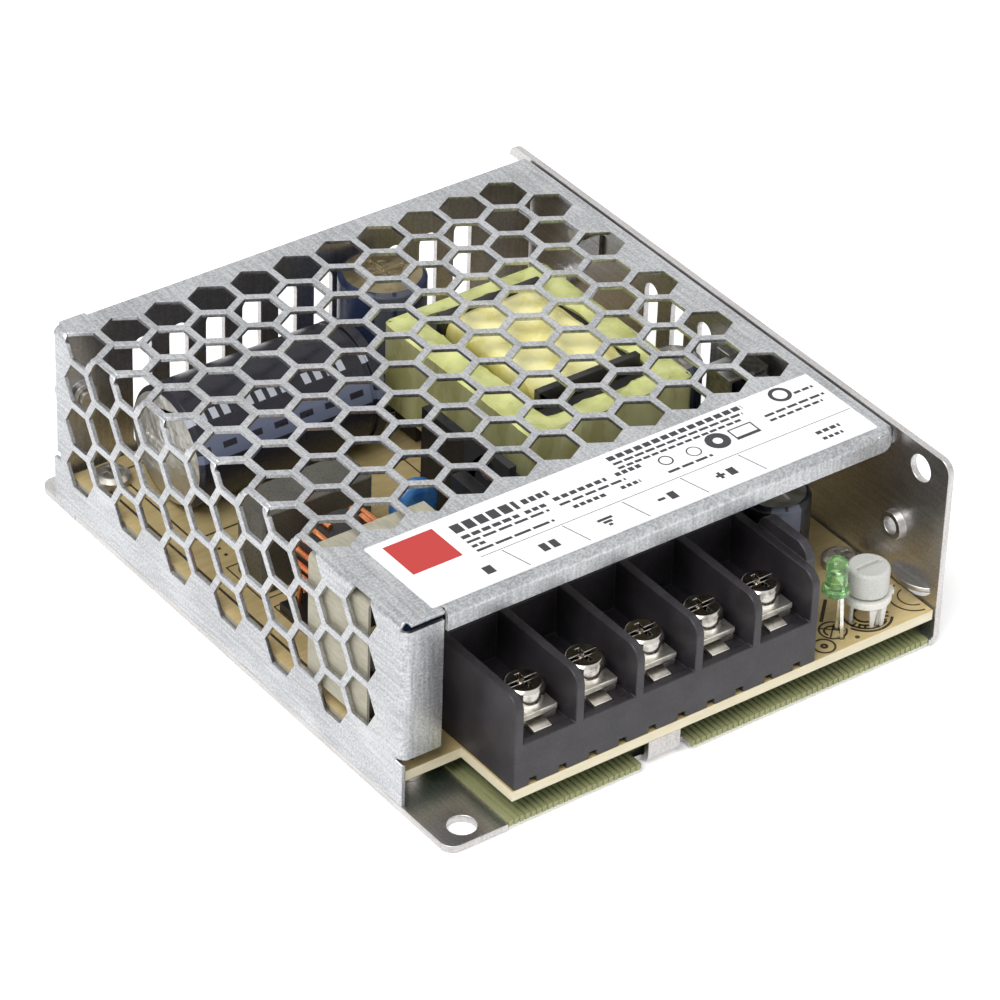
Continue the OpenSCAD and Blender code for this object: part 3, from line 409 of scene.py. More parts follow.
def card():
    """Pressed paper board, fibrous."""
    look = Look("insulating_card")
    fibre = look.noise(0.5, (1, 4, 1), 4.0)
    look.paint(fibre.ramp(0.3, 0.7), (180, 175, 157), (166, 161, 143))
    look.set("Roughness", fibre * 0.2 + 0.65)
    look.bump(fibre, 0.03, 0.6)
    return look


def dipped(name, colour, paler):
    """Dipped lacquer: glossy, slightly uneven."""
    look = Look(name, Coat_Weight=0.4, Coat_Roughness=0.1)
    run = look.noise(2.2)
    look.paint(run.ramp(0.3, 0.7), colour, paler)
    look.set("Roughness", run * 0.25 + 0.15)
    look.bump(run, 0.15, 0.6)
    return look


def clear_epoxy(name, colour, deep, through):
    """Tinted clear plastic that lets light through."""
    look = Look(name, IOR=1.4, Transmission_Weight=through)
    cloud = look.noise(1.5)
    look.paint(cloud.ramp(0.3, 0.8), colour, deep)
    look.set("Roughness", cloud * 0.1 + 0.04)
    look.bump(cloud, 0.01, 0.3)
    return look


def solder():
    """Wave-soldered joint: bright, a little frosted."""
    look = Look("solder", metal=1.0)
    frost = look.noise(0.4, detail=3.0)
    look.paint(frost, (214, 214, 216), (180, 181, 184))
    look.set("Roughness", frost * 0.25 + 0.15)
    look.bump(frost, 0.02, 0.5)
    return look


def ink(name, colour, faded):
    """Screen-printed lacquer, thin in places."""
    look = Look(name)
    thin = look.noise(0.5, detail=3.0)
    look.paint(thin.ramp(0.45, 0.75), colour, faded)
    look.set("Roughness", thin * 0.2 + 0.45)
    return look


# ---------------------------------------------------------------- the printed label
INK = (58, 56, 60)
RED = (188, 60, 56)


def label_print():
    """White film with a red field, rows of plain bars where a maker prints words, and
    the terminal strip's dividers along the front edge."""
    look = Look("label_print", rough=0.3, Specular_IOR_Level=0.25)
    u, v = look.x, look.y

    def block(x0, x1, y0, y1):
        return u.between(x0, x1) * v.between(y0, y1)

    field = block(7.4, 15.2, 19.2, 26.2)
    ink = None
    # rows of bars: first x, last x, y of the middle, height, length of a bar, gap
    rows = [
        (17.2, 27.6, 24.4, 1.9, 1.5, 0.45), (28.4, 32.6, 24.4, 1.1, 0.9, 0.3),
        (17.2, 26.4, 22.3, 0.75, 1.3, 0.35), (27.4, 31.0, 22.3, 0.75, 0.9, 0.3),
        (17.2, 30.4, 21.1, 0.5, 2.1, 0.45), (17.2, 19.4, 20.0, 0.6, 0.9, 0.3),
        (17.2, 29.6, 18.9, 0.5, 2.6, 0.4), (32.2, 40.8, 22.6, 0.8, 1.0, 0.35),
        (42.4, 46.6, 22.6, 0.8, 0.8, 0.3), (32.2, 43.0, 21.2, 0.5, 1.7, 0.4),
        (33.4, 38.6, 19.8, 0.7, 0.8, 0.3), (41.2, 44.4, 19.8, 0.7, 0.7, 0.3),
        (43.6, 66.2, 26.0, 0.95, 1.15, 0.35), (43.6, 65.4, 24.7, 0.5, 1.5, 0.3),
        (43.6, 64.2, 23.6, 0.5, 1.1, 0.3), (48.6, 56.0, 19.2, 0.5, 1.9, 0.4),
        (67.4, 77.6, 22.4, 0.5, 1.6, 0.35), (67.4, 76.4, 21.2, 0.5, 1.1, 0.35),
        (74.2, 77.4, 24.6, 0.5, 1.1, 0.3), (70.6, 74.6, 15.4, 0.7, 0.9, 0.3),
        (70.6, 74.0, 13.9, 0.6, 0.7, 0.3),
    ]
    for x0, x1, y, high, bar, gap in rows:
        bars = u.between(x0, x1) * (abs(v - y) < high / 2) * ((u - x0).mod(bar + gap) < bar)
        ink = bars if ink is None else ink.either(bars)
    # plain marks over the terminals: a block, two blocks, three level bars, and signs
    marks = [(15.4, 16.8, 13.9, 15.6), (24.4, 25.5, 13.9, 15.6), (26.0, 27.1, 13.9, 15.6),
             (34.0, 36.4, 15.2, 15.7), (34.5, 35.9, 14.5, 15.0), (34.9, 35.5, 13.8, 14.3),
             (43.5, 44.7, 14.6, 15.1), (45.3, 46.5, 14.0, 15.6), (53.2, 54.6, 14.6, 15.1),
             (53.65, 54.15, 14.1, 15.6), (55.2, 56.4, 14.0, 15.6)]
    for corners in marks:
        ink = ink.either(block(*corners))
    # slanting dividers and the line above them
    for place in (20.6, 30.3, 40.0, 49.7, 59.4):
        lean = abs(u - place + (v - 14.8) * 0.25) < 0.08
        ink = ink.either(lean * v.between(12.6, 17.3))
    ink = ink.either(block(16.8, 78.2, 17.5, 17.62))
    # four plain rings and a frame in a row
    for ring_x, ring_y, radius, wide in ((50.0, 21.6, 0.95, 0.12), (58.6, 21.4, 1.25, 0.55),
                                         (54.4, 21.2, 1.0, 0.1), (72.4, 25.4, 1.35, 0.3)):
        ring_u, ring_v = u - ring_x, v - ring_y
        reach = (ring_u * ring_u + ring_v * ring_v).math("SQRT")
        ink = ink.either(abs(reach - radius) < wide)
    ink = ink.either(block(61.0, 65.0, 20.0, 22.6) * (1 - block(61.25, 64.75, 20.6, 22.35)))
    wear = look.noise(14)
    paper = look.mix(wear, (250, 250, 250), (240, 241, 243))
    printed = look.mix(ink, paper, INK)
    look.paint(field, printed, RED)
    look.set("Roughness", wear * 0.15 + 0.25)
    return look


# ---------------------------------------------------------------- shapes worked out on grids
def skin(rings, joined=False):
    """Quads between each ring of places and the next. Open rows get a face at each end, and
    joined ones run on from the last ring to the first."""
    rows, columns = rings.shape[:2]
    index = np.arange(rows * columns).reshape(rows, columns)
    here = index if joined else index[:-1]
    ahead = np.roll(index, -1, 0) if joined else index[1:]
    quads = np.stack([here, np.roll(here, -1, 1), np.roll(ahead, -1, 1), ahead], -1)
    faces = quads.reshape(-1, 4).tolist()
    if not joined:
        faces += [index[0].tolist(), index[-1].tolist()]
    return rings.reshape(-1, 3), faces


def unit(vectors):
    """Each vector over its own length."""
    return vectors / np.linalg.norm(vectors, axis=-1, keepdims=True)


def sweep(path, section, outward, joined=False, scale=1.0):
    """A section carried along a path. A point of the section is (out, across); its place is the
    path's place plus out times the outward direction and across times the direction square to
    both path and outward, each times scale."""
    path = np.asarray(path, float)
    ahead = (np.roll(path, -1, 0) - np.roll(path, 1, 0)) if joined else np.gradient(path, axis=0)
    ahead = unit(ahead)
    outward = np.broadcast_to(np.asarray(outward, float), path.shape)
    outward = unit(outward - (outward * ahead).sum(1, keepdims=True) * ahead)
    across = np.cross(ahead, outward)
    grow = np.broadcast_to(np.asarray(scale, float).reshape(-1, 1, 1), (len(path), 1, 1))
    section = np.asarray(section, float)
    rings = (path[:, None] + grow * (section[None, :, :1] * outward[:, None]
                                     + section[None, :, 1:] * across[:, None]))
    return skin(rings, joined)


def circle(radius, count):
    """Points (radius cos t, radius sin t) for t once round."""
    t = np.linspace(0, 2 * np.pi, count, endpoint=False)
    return radius * np.stack([np.cos(t), np.sin(t)], 1)


def squared(wave, power):
    """A sine or cosine raised to a power under 1 with its sign kept, which turns the circle
    drawn by the two into a rectangle with soft corners."""
    return np.sign(wave) * np.abs(wave) ** power


def bar(high, wide):
    """A rectangle's corners, high outward and wide across."""
    return [(high / 2 * out, wide / 2 * across) for out, across in ((1, -1), (1, 1), (-1, 1),
                                                                    (-1, -1))]


def turned(profile, centre, count=24):
    """Each (radius, z) of the profile goes once round the upright axis through centre."""
    profile = np.asarray(profile, float)
    round_once = circle(1.0, count)
    rings = np.empty((len(profile), count, 3))
    rings[..., :2] = np.asarray(centre, float) + profile[:, :1, None] * round_once
    rings[..., 2] = profile[:, 1:]
    return skin(rings)


SMOOTH_BELOW = math.radians(38)       # made pieces: edges that bend less are shaded smooth
CORNER_BEND = math.radians(33)        # solids: edges that bend more are corners to break
FLAT_WITHIN = math.radians(0.15)      # solids: faces that bend less are one face
WELD_PIECE, WELD_SOLID = 1e-7, 5e-7   # points nearer than this, in metres, are one


def piece(name, parts, look, body, stands_for=()):
    """Joins parts, which are in millimetres from the corner, into one mesh that rides on body."""
    places, faces, start = [], [], 0
    for part_places, part_faces in parts:
        places.append(part_places)
        faces += [[corner + start for corner in face] for face in part_faces]
        start += len(part_places)
    mesh = bpy.data.meshes.new(name)
    mesh.from_pydata((np.concatenate(places) * MM + CORNER).tolist(), [], faces)
    shape = bmesh.new()
    shape.from_mesh(mesh)
    bmesh.ops.remove_doubles(shape, verts=shape.verts, dist=WELD_PIECE)
    bmesh.ops.recalc_face_normals(shape, faces=shape.faces)
    for face in shape.faces:
        face.smooth = True
    shape.to_mesh(mesh)
    shape.free()
    mesh.set_sharp_from_angle(angle=SMOOTH_BELOW)
    return place_piece(name, mesh, look, body, stands_for)


def place_piece(name, mesh, look, body, stands_for):
    """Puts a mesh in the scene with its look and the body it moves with."""
    mesh.materials.clear()
    mesh.materials.append(look.material)
    made = bpy.data.objects.new(name, mesh)
    bpy.context.scene.collection.objects.link(made)
    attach(made, body)
    if stands_for:
        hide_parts(*stands_for)
    return made


def finished(node, look, edge=0.0, steps=2):
    """A copy of a solid with its corners broken by edge millimetres, shaded smooth with the
    wide faces' own directions kept. A point that the breaking throws off the solid's surface
    goes back onto it, and none leaves the solid's box. The copy stands for the solid."""
    shape = bmesh.new()
    shape.from_mesh(NODES[node].data)
    bmesh.ops.remove_doubles(shape, verts=shape.verts, dist=WELD_SOLID)
    bmesh.ops.dissolve_limit(shape, angle_limit=FLAT_WITHIN, verts=shape.verts,
                             edges=shape.edges)
    for face in shape.faces:
        face.smooth = True
    corners = [joint for joint in shape.edges if joint.calc_face_angle(0.0) > CORNER_BEND]
    if edge:
        surface = BVHTree.FromBMesh(shape)
        corner_places = np.array([point.co for point in shape.verts])
        box = corner_places.min(0), corner_places.max(0)
        bmesh.ops.bevel(shape, geom=corners, offset=edge * MM, offset_type="OFFSET",
                        segments=steps, profile=0.5, affect="EDGES", clamp_overlap=False)
        for point in shape.verts:
            near, _, _, away = surface.find_nearest(point.co)
            place = near if away > 1.1 * edge * MM else point.co
            point.co = np.clip(place, *box)
    mesh = bpy.data.meshes.new(node + "_finish")
    shape.to_mesh(mesh)
    shape.free()
    if not edge:
        mesh.set_sharp_from_angle(angle=CORNER_BEND)
    body = body_of(NODES[node])[0]
    made = place_piece(node + "_finish", mesh, look, body, (node,))
    shading = made.modifiers.new("shading", "WEIGHTED_NORMAL")
    shading.keep_sharp = True
    shading.weight = 100
    return made


def wear_look(look, *names):
    """Gives the named solids this look as they are."""
    for name in names:
        slots = NODES[name].data.materials
        slots.clear()
        slots.append(look.material)


def several(stem, count):
    """The names stem_1, stem_2 and so on."""
    return [f"{stem}_{k + 1}" for k in range(count)]


def creases(u, v, seed, count, length):
    """Sharp-backed folds: for each of count directions, (1 - |sin|) cubed of the distance along
    that direction, bent a little by a slow wave; 0 to about 1."""
    rng = np.random.default_rng(seed)
    height = np.zeros(np.broadcast(u, v).shape)
    for turn, shift, bow in zip(rng.uniform(0, np.pi, count), rng.uniform(0, 9, count),
                                rng.uniform(0.2, 0.9, count)):
        ahead = u * np.cos(turn) + v * np.sin(turn)
        aside = v * np.cos(turn) - u * np.sin(turn)
        wave = np.sin(np.pi * (ahead + bow * np.sin(aside / length * 2)) / length + shift)
        patch = 0.5 + 0.5 * np.sin(aside / length * 1.3 + shift * 2)
        height += (1 - np.abs(wave)) ** 3 * patch
    return height / count ** 0.5


# ---------------------------------------------------------------- the finished solids
WAYS = 5
OUTPUT_CAPACITORS = [(49.4, 85.9, 6.4, 25.6), (75.8, 52, 3.9, 20), (66, 17.6, 5, 21.4)]
BULK_CENTRE, BULK_RADIUS, BULK_ENDS = (79.2, 14.8), 9.0, ("x", 8.6, 39.6)


def finish_solids():
    """Gives each solid its look and, but for sheets, board, label and the solids given an edge of
    nothing, its broken corners.
    Returns the two looks that added pieces share."""
    cover = zinc_sheet("zinc_cover", (208, 209, 211), (160, 162, 165))
    chassis = zinc_sheet("zinc_chassis", (210, 208, 207), (182, 179, 177), 0.26)
    black = moulded("terminal_black", (34, 31, 35), (54, 51, 55), 0.42)
    tin = plated("tin_plate", (240, 236, 227), (196, 190, 180), 0.34)
    nickel = plated("nickel_plate", (206, 201, 194), (140, 134, 127), 0.15)
    ferrite = moulded("ferrite", (34, 33, 32), (54, 52, 50), 0.6, 0.5)
    bobbin = moulded("black_bobbin", (24, 22, 22), (38, 35, 34), 0.4)
    copper = copper_wire("enamelled_copper", (242, 158, 100), (210, 116, 66))
    epoxy = moulded("black_epoxy", (32, 32, 33), (46, 46, 48), 0.5)
    blue = dipped("blue_dip", (52, 112, 186), (84, 146, 210))
    plans = [                             # look, edge in millimetres, steps round it, solids
        (cover, 0.06, 1, ["cover"]), (chassis, 0.12, 2, ["chassis"]),
        (black, 0.18, 2, ["terminal_housing"]),
        (tin, 0.1, 2, several("terminal_contact", WAYS) + several("terminal_clamp", WAYS)),
        (nickel, 0.08, 2, several("terminal_screw", WAYS)),
        (plated("zinc_screw", (196, 192, 182), (158, 153, 142), 0.4), 0.1, 2,
         ["board_screws", "cover_screws"]),
        (tin, 0.08, 1, ["board_standoffs"]),
        (clear_epoxy("green_epoxy", (188, 232, 172), (150, 208, 136), 0.85), 0.1, 2, ["led_lamp"]),
        (moulded("trimmer_white", (236, 234, 228), (220, 218, 210), 0.4), 0.15, 2,
         ["trimmer_base"]),
        (moulded("trimmer_grey", (206, 205, 201), (190, 190, 186), 0.35), 0.2, 2,
         ["trimmer_knob"]),
        (ferrite, 0.2, 2, ["transformer_core", "line_choke_core", "output_choke_core"]),
        (bobbin, 0.12, 2, ["transformer_bobbin", "line_choke_base", "fuse"]),
        (copper, 0.0, 1, ["output_choke_winding"]),
        (moulded("olive_box", (72, 70, 62), (92, 90, 80), 0.3), 0.25, 2, ["x_capacitor"]),
        (blue, 0.0, 1, ["y_capacitor", "varistor"]),
        (dipped("green_dip", (44, 66, 44), (66, 92, 62)), 0.0, 1, ["thermistor"]),
        (epoxy, 0.1, 2, ["bridge_rectifier", "switch_transistor", "output_diode",
                         "controller_chip"]),
        (moulded("white_epoxy", (222, 222, 214), (206, 205, 196), 0.5), 0.1, 2, ["optocoupler"]),
        (plated("black_anodised", (38, 38, 41), (56, 56, 60), 0.45, 0.6), 0.12, 2,
         ["switch_heatsink"]),
        (plated("plain_aluminium", (214, 214, 214), (176, 176, 178), 0.3), 0.12, 2,
         ["diode_heatsink"]),
        (plated("spring_steel", (176, 174, 170), (130, 128, 124), 0.3), 0.06, 1, ["diode_clip"]),
        (sleeve("bulk_sleeve", (38, 37, 46), BULK_CENTRE, BULK_RADIUS, (112, 119, 142),
                (2.72, 0.2), BULK_ENDS, (2.2, 0.09)), 0.12, 2, ["bulk_capacitor"]),
    ]
    for name, (x, y, radius, top) in zip(several("output_capacitor", 3), OUTPUT_CAPACITORS):
        dark = (28, 28, 32) if name.endswith("3") else (44, 54, 84)
        # the first can's bare end is painted tan, darker and warmer than aluminium: painted shade
        # with a painted warm reflection
        can = (168, 153, 121) if name.endswith("1") else (206, 204, 198)
        plans.append((sleeve(name + "_sleeve", dark, (x, y), radius, (92, 96, 110),
                             (-1.9, 0.45), ("z", BOARD_TOP, top), can=can), 0.12, 2, [name]))
    for look, edge, steps, names in plans:
        for name in names:
            finished(name, look, edge, steps)
    wear_look(label_print(), "rating_label")
    wear_look(ribbed_sheet(), "base_insulation_sheet")
    wear_look(card(), "side_insulation_sheet")
    wear_look(laminate(), "circuit_board")
    return copper, nickel


# ---------------------------------------------------------------- terminal threads
SCREW_X = [15.8, 25.5, 35.2, 44.9, 54.6]
SCREW_Y = 6.2
THREAD_PITCH, THREAD_RADIUS = 0.5, 1.45
THREAD_FROM, THREAD_TO = 9.75, 15.45
THREAD_STEPS = 20                      # places along each turn
THREAD_RIDGE = [(0.09, 0), (-0.1, 0.19), (-0.1, -0.19)]


def add_threads(look):
    """A low ridge that winds up each screw's shank: radius and pitch constant, angle rising,
    and the ridge's section grows from nothing at both ends."""
    turns = (THREAD_TO - THREAD_FROM) / THREAD_PITCH
    t = np.linspace(0, 1, int(turns * THREAD_STEPS))
    angle = 2 * np.pi * turns * t
    out = np.stack([np.cos(angle), np.sin(angle), np.zeros_like(angle)], 1)
    fade = np.clip(np.minimum(t, 1 - t) * 40, 0.05, 1)
    for k, x in enumerate(SCREW_X):
        path = out * (THREAD_RADIUS - 0.02) + (x, SCREW_Y, THREAD_FROM)
        path[:, 2] += t * (THREAD_TO - THREAD_FROM)
        piece(f"screw_thread_{k + 1}", [sweep(path, THREAD_RIDGE, out, scale=fade)], look,
              f"screw_{k + 1}")


# ---------------------------------------------------------------- line choke turns
CHOKE_CENTRE = np.array([14.5, 44.5, 14.6])
CHOKE_OUT, CHOKE_BORE, CHOKE_HALF = 6.0, 3.0, 3.0
CHOKE_TURNS, CHOKE_STEP, CHOKE_WIRE = 9, math.radians(15), 0.44
CHOKE_LEG_X, CHOKE_LEG_Y = (9.5, 19.5), (41.0, 48.0)
CHOKE_LEG_FOOT, CHOKE_LEG_HIGH, CHOKE_LEG_RADIUS = 7.0, 5.2, 0.4
WIRE_CLEAR = 0.5                       # from the ring's surface to the wire's middle
WIRE_SOFT = 0.45


def add_choke_turns(look):
    """Round wire that winds through the ring: the wire goes round a soft rectangle about the
    ring's section while the section itself goes slowly round the ring's axis, which is Y."""
    middle, reach = (CHOKE_OUT + CHOKE_BORE) / 2, (CHOKE_OUT - CHOKE_BORE) / 2 + WIRE_CLEAR
    high = CHOKE_HALF + WIRE_CLEAR
    upright = np.array([0.0, 1.0, 0.0])
    t = np.linspace(0, 1, CHOKE_TURNS * 26)
    loop = 2 * np.pi * CHOKE_TURNS * t
    u, v = reach * squared(np.cos(loop), WIRE_SOFT), high * squared(np.sin(loop), WIRE_SOFT)
    parts = []
    for side in (0, np.pi):
        place = side + (t - 0.5) * CHOKE_TURNS * CHOKE_STEP
        ring = np.stack([np.cos(place), np.zeros_like(place), np.sin(place)], 1)
        path = CHOKE_CENTRE + ring * (middle + u)[:, None] + upright * v[:, None]
        out = ring * np.cos(loop)[:, None] + upright * np.sin(loop)[:, None]
        parts.append(sweep(path, circle(CHOKE_WIRE, 8), out))
    t = np.linspace(0, 1, 12)
    for x in CHOKE_LEG_X:
        for y, lean in zip(CHOKE_LEG_Y, (-1, 1)):
            path = np.stack([x + (CHOKE_CENTRE[0] - x) * 0.22 * t ** 2, np.full_like(t, y),
                             CHOKE_LEG_FOOT + CHOKE_LEG_HIGH * t], 1)
            parts.append(sweep(path, circle(CHOKE_LEG_RADIUS, 8), (0, lean, 0)))
    piece("choke_turns", parts, look, "case", ("line_choke_winding",))


# ---------------------------------------------------------------- transformer tape and winding
WINDING_BOX = ((48.8, 65.8), (48.95, 70.45), (9.0, 26.4))
WINDING_SOFT, WINDING_CROWN, WINDING_FOLDS = 0.3, 0.5, 0.42
BAND_X, BAND_Y, BAND_Z = (43.3, 71.3), (42.2, 77.2), (11.0, 24.4)
BAND_CORNER, BAND_WALL = 1.0, 0.62
LAP, LAP_MORE_AT_SIDES, LAP_RAGGED = 3.1, 1.5, 0.55
LAP_LIFT, SIDE_PUCKER = 0.55, 0.16
RAGGED_KNOTS = 34
BAND_PROFILE = [                       # share of the lap, way in from outside, height
    (0, 0, BAND_Z[0]), (0, 0, 15.5), (0, 0, 20.0), (0, 0, BAND_Z[1] - 0.35),
    (0.12, 0, BAND_Z[1] - 0.02), (0.4, 0, BAND_Z[1]), (0.62, 0, BAND_Z[1]),
    (0.8, 0, BAND_Z[1]), (0.95, 0, BAND_Z[1]), (1.0, 0, BAND_Z[1] - 0.04),
    (1.0, 0, BAND_Z[1] - 0.3), (0.62, 0, BAND_Z[1] - 0.34), (0.1, BAND_WALL, BAND_Z[1] - 0.4),
    (0, BAND_WALL, BAND_Z[0]),
]


def add_winding_wrap():
    """A rectangle with soft corners in X and Z carried along Y, crowned in the middle by the
    root of a sine, and creased."""
    (x0, x1), (y0, y1), (z0, z1) = WINDING_BOX
    t = np.linspace(0, 2 * np.pi, 150, endpoint=False)
    y = np.linspace(y0, y1, 90)
    c, s = np.cos(t), np.sin(t)
    x = (x0 + x1) / 2 + (x1 - x0) / 2 * squared(c, WINDING_SOFT)
    z = (z0 + z1) / 2 + (z1 - z0) / 2 * squared(s, WINDING_SOFT)
    crown = np.sin(np.pi * (y - y0) / (y1 - y0)) ** 0.5
    folds = creases(x[None] + z[None] * 0.7, y[:, None], 7, 7, 6.5)
    grow = (crown[:, None] - 1) * WINDING_CROWN + (folds - 0.45) * WINDING_FOLDS
    rings = np.empty((len(y), len(t), 3))
    rings[..., 0] = x + grow * c * 0.7
    rings[..., 1] = y[:, None]
    rings[..., 2] = z + grow * s
    # the first two colours are the painted shade of the upright faces, the last two the painted
    # light of the tops
    piece("winding_wrap", [skin(rings)],
          film_tape("winding_film", (228, 220, 138), (202, 190, 100), (247, 242, 182),
                    (235, 224, 138)),
          "case", ("transformer_winding",))


def band_outline():
    """Places once round the band, and the outward direction at each: a quarter circle at each
    corner, then a straight side."""
    left, right = BAND_X[0] + BAND_CORNER, BAND_X[1] - BAND_CORNER
    front, back = BAND_Y[0] + BAND_CORNER, BAND_Y[1] - BAND_CORNER
    quarter = np.linspace(0, np.pi / 2, 9)
    run = np.linspace(0, 1, 70)[1:-1, None]
    paths, outs = [], []
    for k, centre in enumerate(((right, back), (left, back), (left, front), (right, front))):
        a = quarter + k * np.pi / 2
        out = np.stack([np.cos(a), np.sin(a)], 1)
        side = (right - left, back - front)[k % 2]
        way = np.array([-np.sin(a[-1]), np.cos(a[-1])])
        paths += [centre + BAND_CORNER * out, centre + BAND_CORNER * out[-1] + way * run * side]
        outs += [out, np.repeat(out[-1:], len(run), 0)]
    return np.concatenate(paths), np.concatenate(outs)


def add_core_band():
    """A profile carried round the core and turned in over its top to a ragged edge. The lap is
    deeper on the left and right sides, and the top is lifted and the sides drawn in by creases."""
    path, out = band_outline()
    knots = np.random.default_rng(3).uniform(-1, 1, RAGGED_KNOTS)
    ragged = np.interp(np.linspace(0, RAGGED_KNOTS, len(path)), np.arange(RAGGED_KNOTS + 1),
                       np.append(knots, knots[0]))
    depth = LAP + LAP_MORE_AT_SIDES * np.abs(out[:, 0]) ** 2 + LAP_RAGGED * ragged
    reach, inset, heights = np.array(BAND_PROFILE).T
    spread = reach[None] * depth[:, None] + inset[None]
    folds = creases(path[:, :1] - out[:, :1] * spread, path[:, 1:] - out[:, 1:] * spread,
                    11, 5, 5.0)
    lift = np.where((reach > 0.3) & (heights > BAND_Z[1] - 0.2), LAP_LIFT, 0.0)
    rings = np.empty((len(path), len(reach), 3))
    rings[..., :2] = path[:, None] - out[:, None] * spread[..., None]
    rings[..., 2] = heights[None] + folds * lift[None]
    pucker = SIDE_PUCKER * (creases(path[:, :1] + path[:, 1:], heights[None] * 1.4, 5, 5, 7.0)
                            - 0.5)
    face_rows = (reach < 0.05) & (inset < 0.1)
    rings[..., :2] += out[:, None] * np.minimum(pucker * face_rows, 0)[..., None]
    # the first two colours are the painted shade of the upright faces, the last two the painted
    # light of the tops
    piece("core_band", [skin(rings, joined=True)],
          film_tape("core_film", (198, 198, 148), (174, 172, 116), (232, 236, 160),
                    (206, 211, 128)),
          "case", ("transformer_tape",))


# ---------------------------------------------------------------- lamp and trimmer
LAMP = (65.6, 3.4)
LAMP_FEET = [(66.42, 2.4), (67.18, 4.4)]
LEADS_END = 2.9


def add_lamp_frame(look):
    """Two square leads that rise from the board into the lamp; the front one carries the cup."""
    front, rear = ([(*foot, LEADS_END), (*foot, 6.4)] for foot in LAMP_FEET)
    front += [(66.22, 2.5, 10.0), (66.1, 2.6, 13.3), (66.05, 2.62, 15.4), (65.9, 2.8, 16.4),
              (65.6, 3.3, 16.8)]
    rear += [(67.12, 4.2, 10.0), (66.95, 3.95, 13.3), (66.6, 3.9, 14.6), (66.1, 3.8, 15.8)]
    along = np.linspace(0, 1, 40)
    parts = []
    for points, wide in ((front, 0.46), (rear, 0.4)):
        knots = np.linspace(0, 1, len(points))
        path = np.stack([np.interp(along, knots, places) for places in zip(*points)], 1)
        parts.append(sweep(path, bar(0.4, wide), (0.62, 0.78, 0.01)))
    parts.append(turned([(0, 16.3), (0.55, 16.35), (0.6, 16.7), (0.4, 16.72), (0.2, 16.6),
                         (0, 16.58)], LAMP))
    piece("lamp_frame", parts, look, "case", ("led_leads",))


TRIMMER, TRIMMER_UNDER = (72.3, 4.6), 9.0
TRIMMER_PINS = [(69.8, 4.6), (74.8, 4.6), (72.3, 2.1)]
TRIMMER_PRONGS = [(71.25, 1.95), (72.65, 1.6), (74.9, 4.3)]


def add_trimmer_legs(look):
    """Flat prongs that narrow from the base to the board, three pins through it, and a tab."""
    parts = []
    for x, y in TRIMMER_PRONGS:
        out = np.array([x - TRIMMER[0], y - TRIMMER[1], 0.0])
        z = np.array([TRIMMER_UNDER, 8.6, 7.9, 7.0, 6.2, BOARD_TOP])
        path = np.stack([np.full_like(z, x), np.full_like(z, y), z], 1)
        wide = np.array([1.0, 1.0, 0.85, 0.7, 0.55, 0.5])
        parts.append(sweep(path, bar(0.6, 1.0), out, scale=wide))
    for x, y in TRIMMER_PINS:
        parts.append(turned([(0, TRIMMER_UNDER), (0.3, TRIMMER_UNDER), (0.3, LEADS_END),
                             (0, LEADS_END)], (x, y), 12))
    parts.append(sweep([(75.2, 3.7, 9.4), (75.6, 3.5, 9.4), (75.9, 3.35, 9.4)], bar(0.7, 1.2),
                       (0, 0, 1)))
    piece("trimmer_prongs", parts, look, "case", ("trimmer_legs",))


# ---------------------------------------------------------------- print on the board
PRINT_Z, PRINT_HIGH = BOARD_TOP + 0.01, 0.04


def ring_line(x, y, radius, wide, start=0.0, stop=360.0):
    """A printed ring, or the part of it from start to stop in degrees."""
    t = np.radians(np.linspace(start, stop, max(8, int(abs(stop - start) / 8))))
    joined = abs(stop - start) >= 360
    if joined:
        t = t[:-1]
    path = np.stack([x + radius * np.cos(t), y + radius * np.sin(t), np.full_like(t, PRINT_Z)], 1)
    return sweep(path, bar(PRINT_HIGH, wide), (0, 0, 1), joined)


def line(points, wide=0.22):
    """A printed line through the given places on the board."""
    path = [(x, y, PRINT_Z) for x, y in points]
    return sweep(path, bar(PRINT_HIGH, wide), (0, 0, 1))


def box_line(x0, y0, x1, y1, wide=0.22):
    """The four sides of a printed box."""
    corners = [(x0, y0), (x1, y0), (x1, y1), (x0, y1)]
    return [line([a, b], wide) for a, b in zip(corners, corners[1:] + corners[:1])]


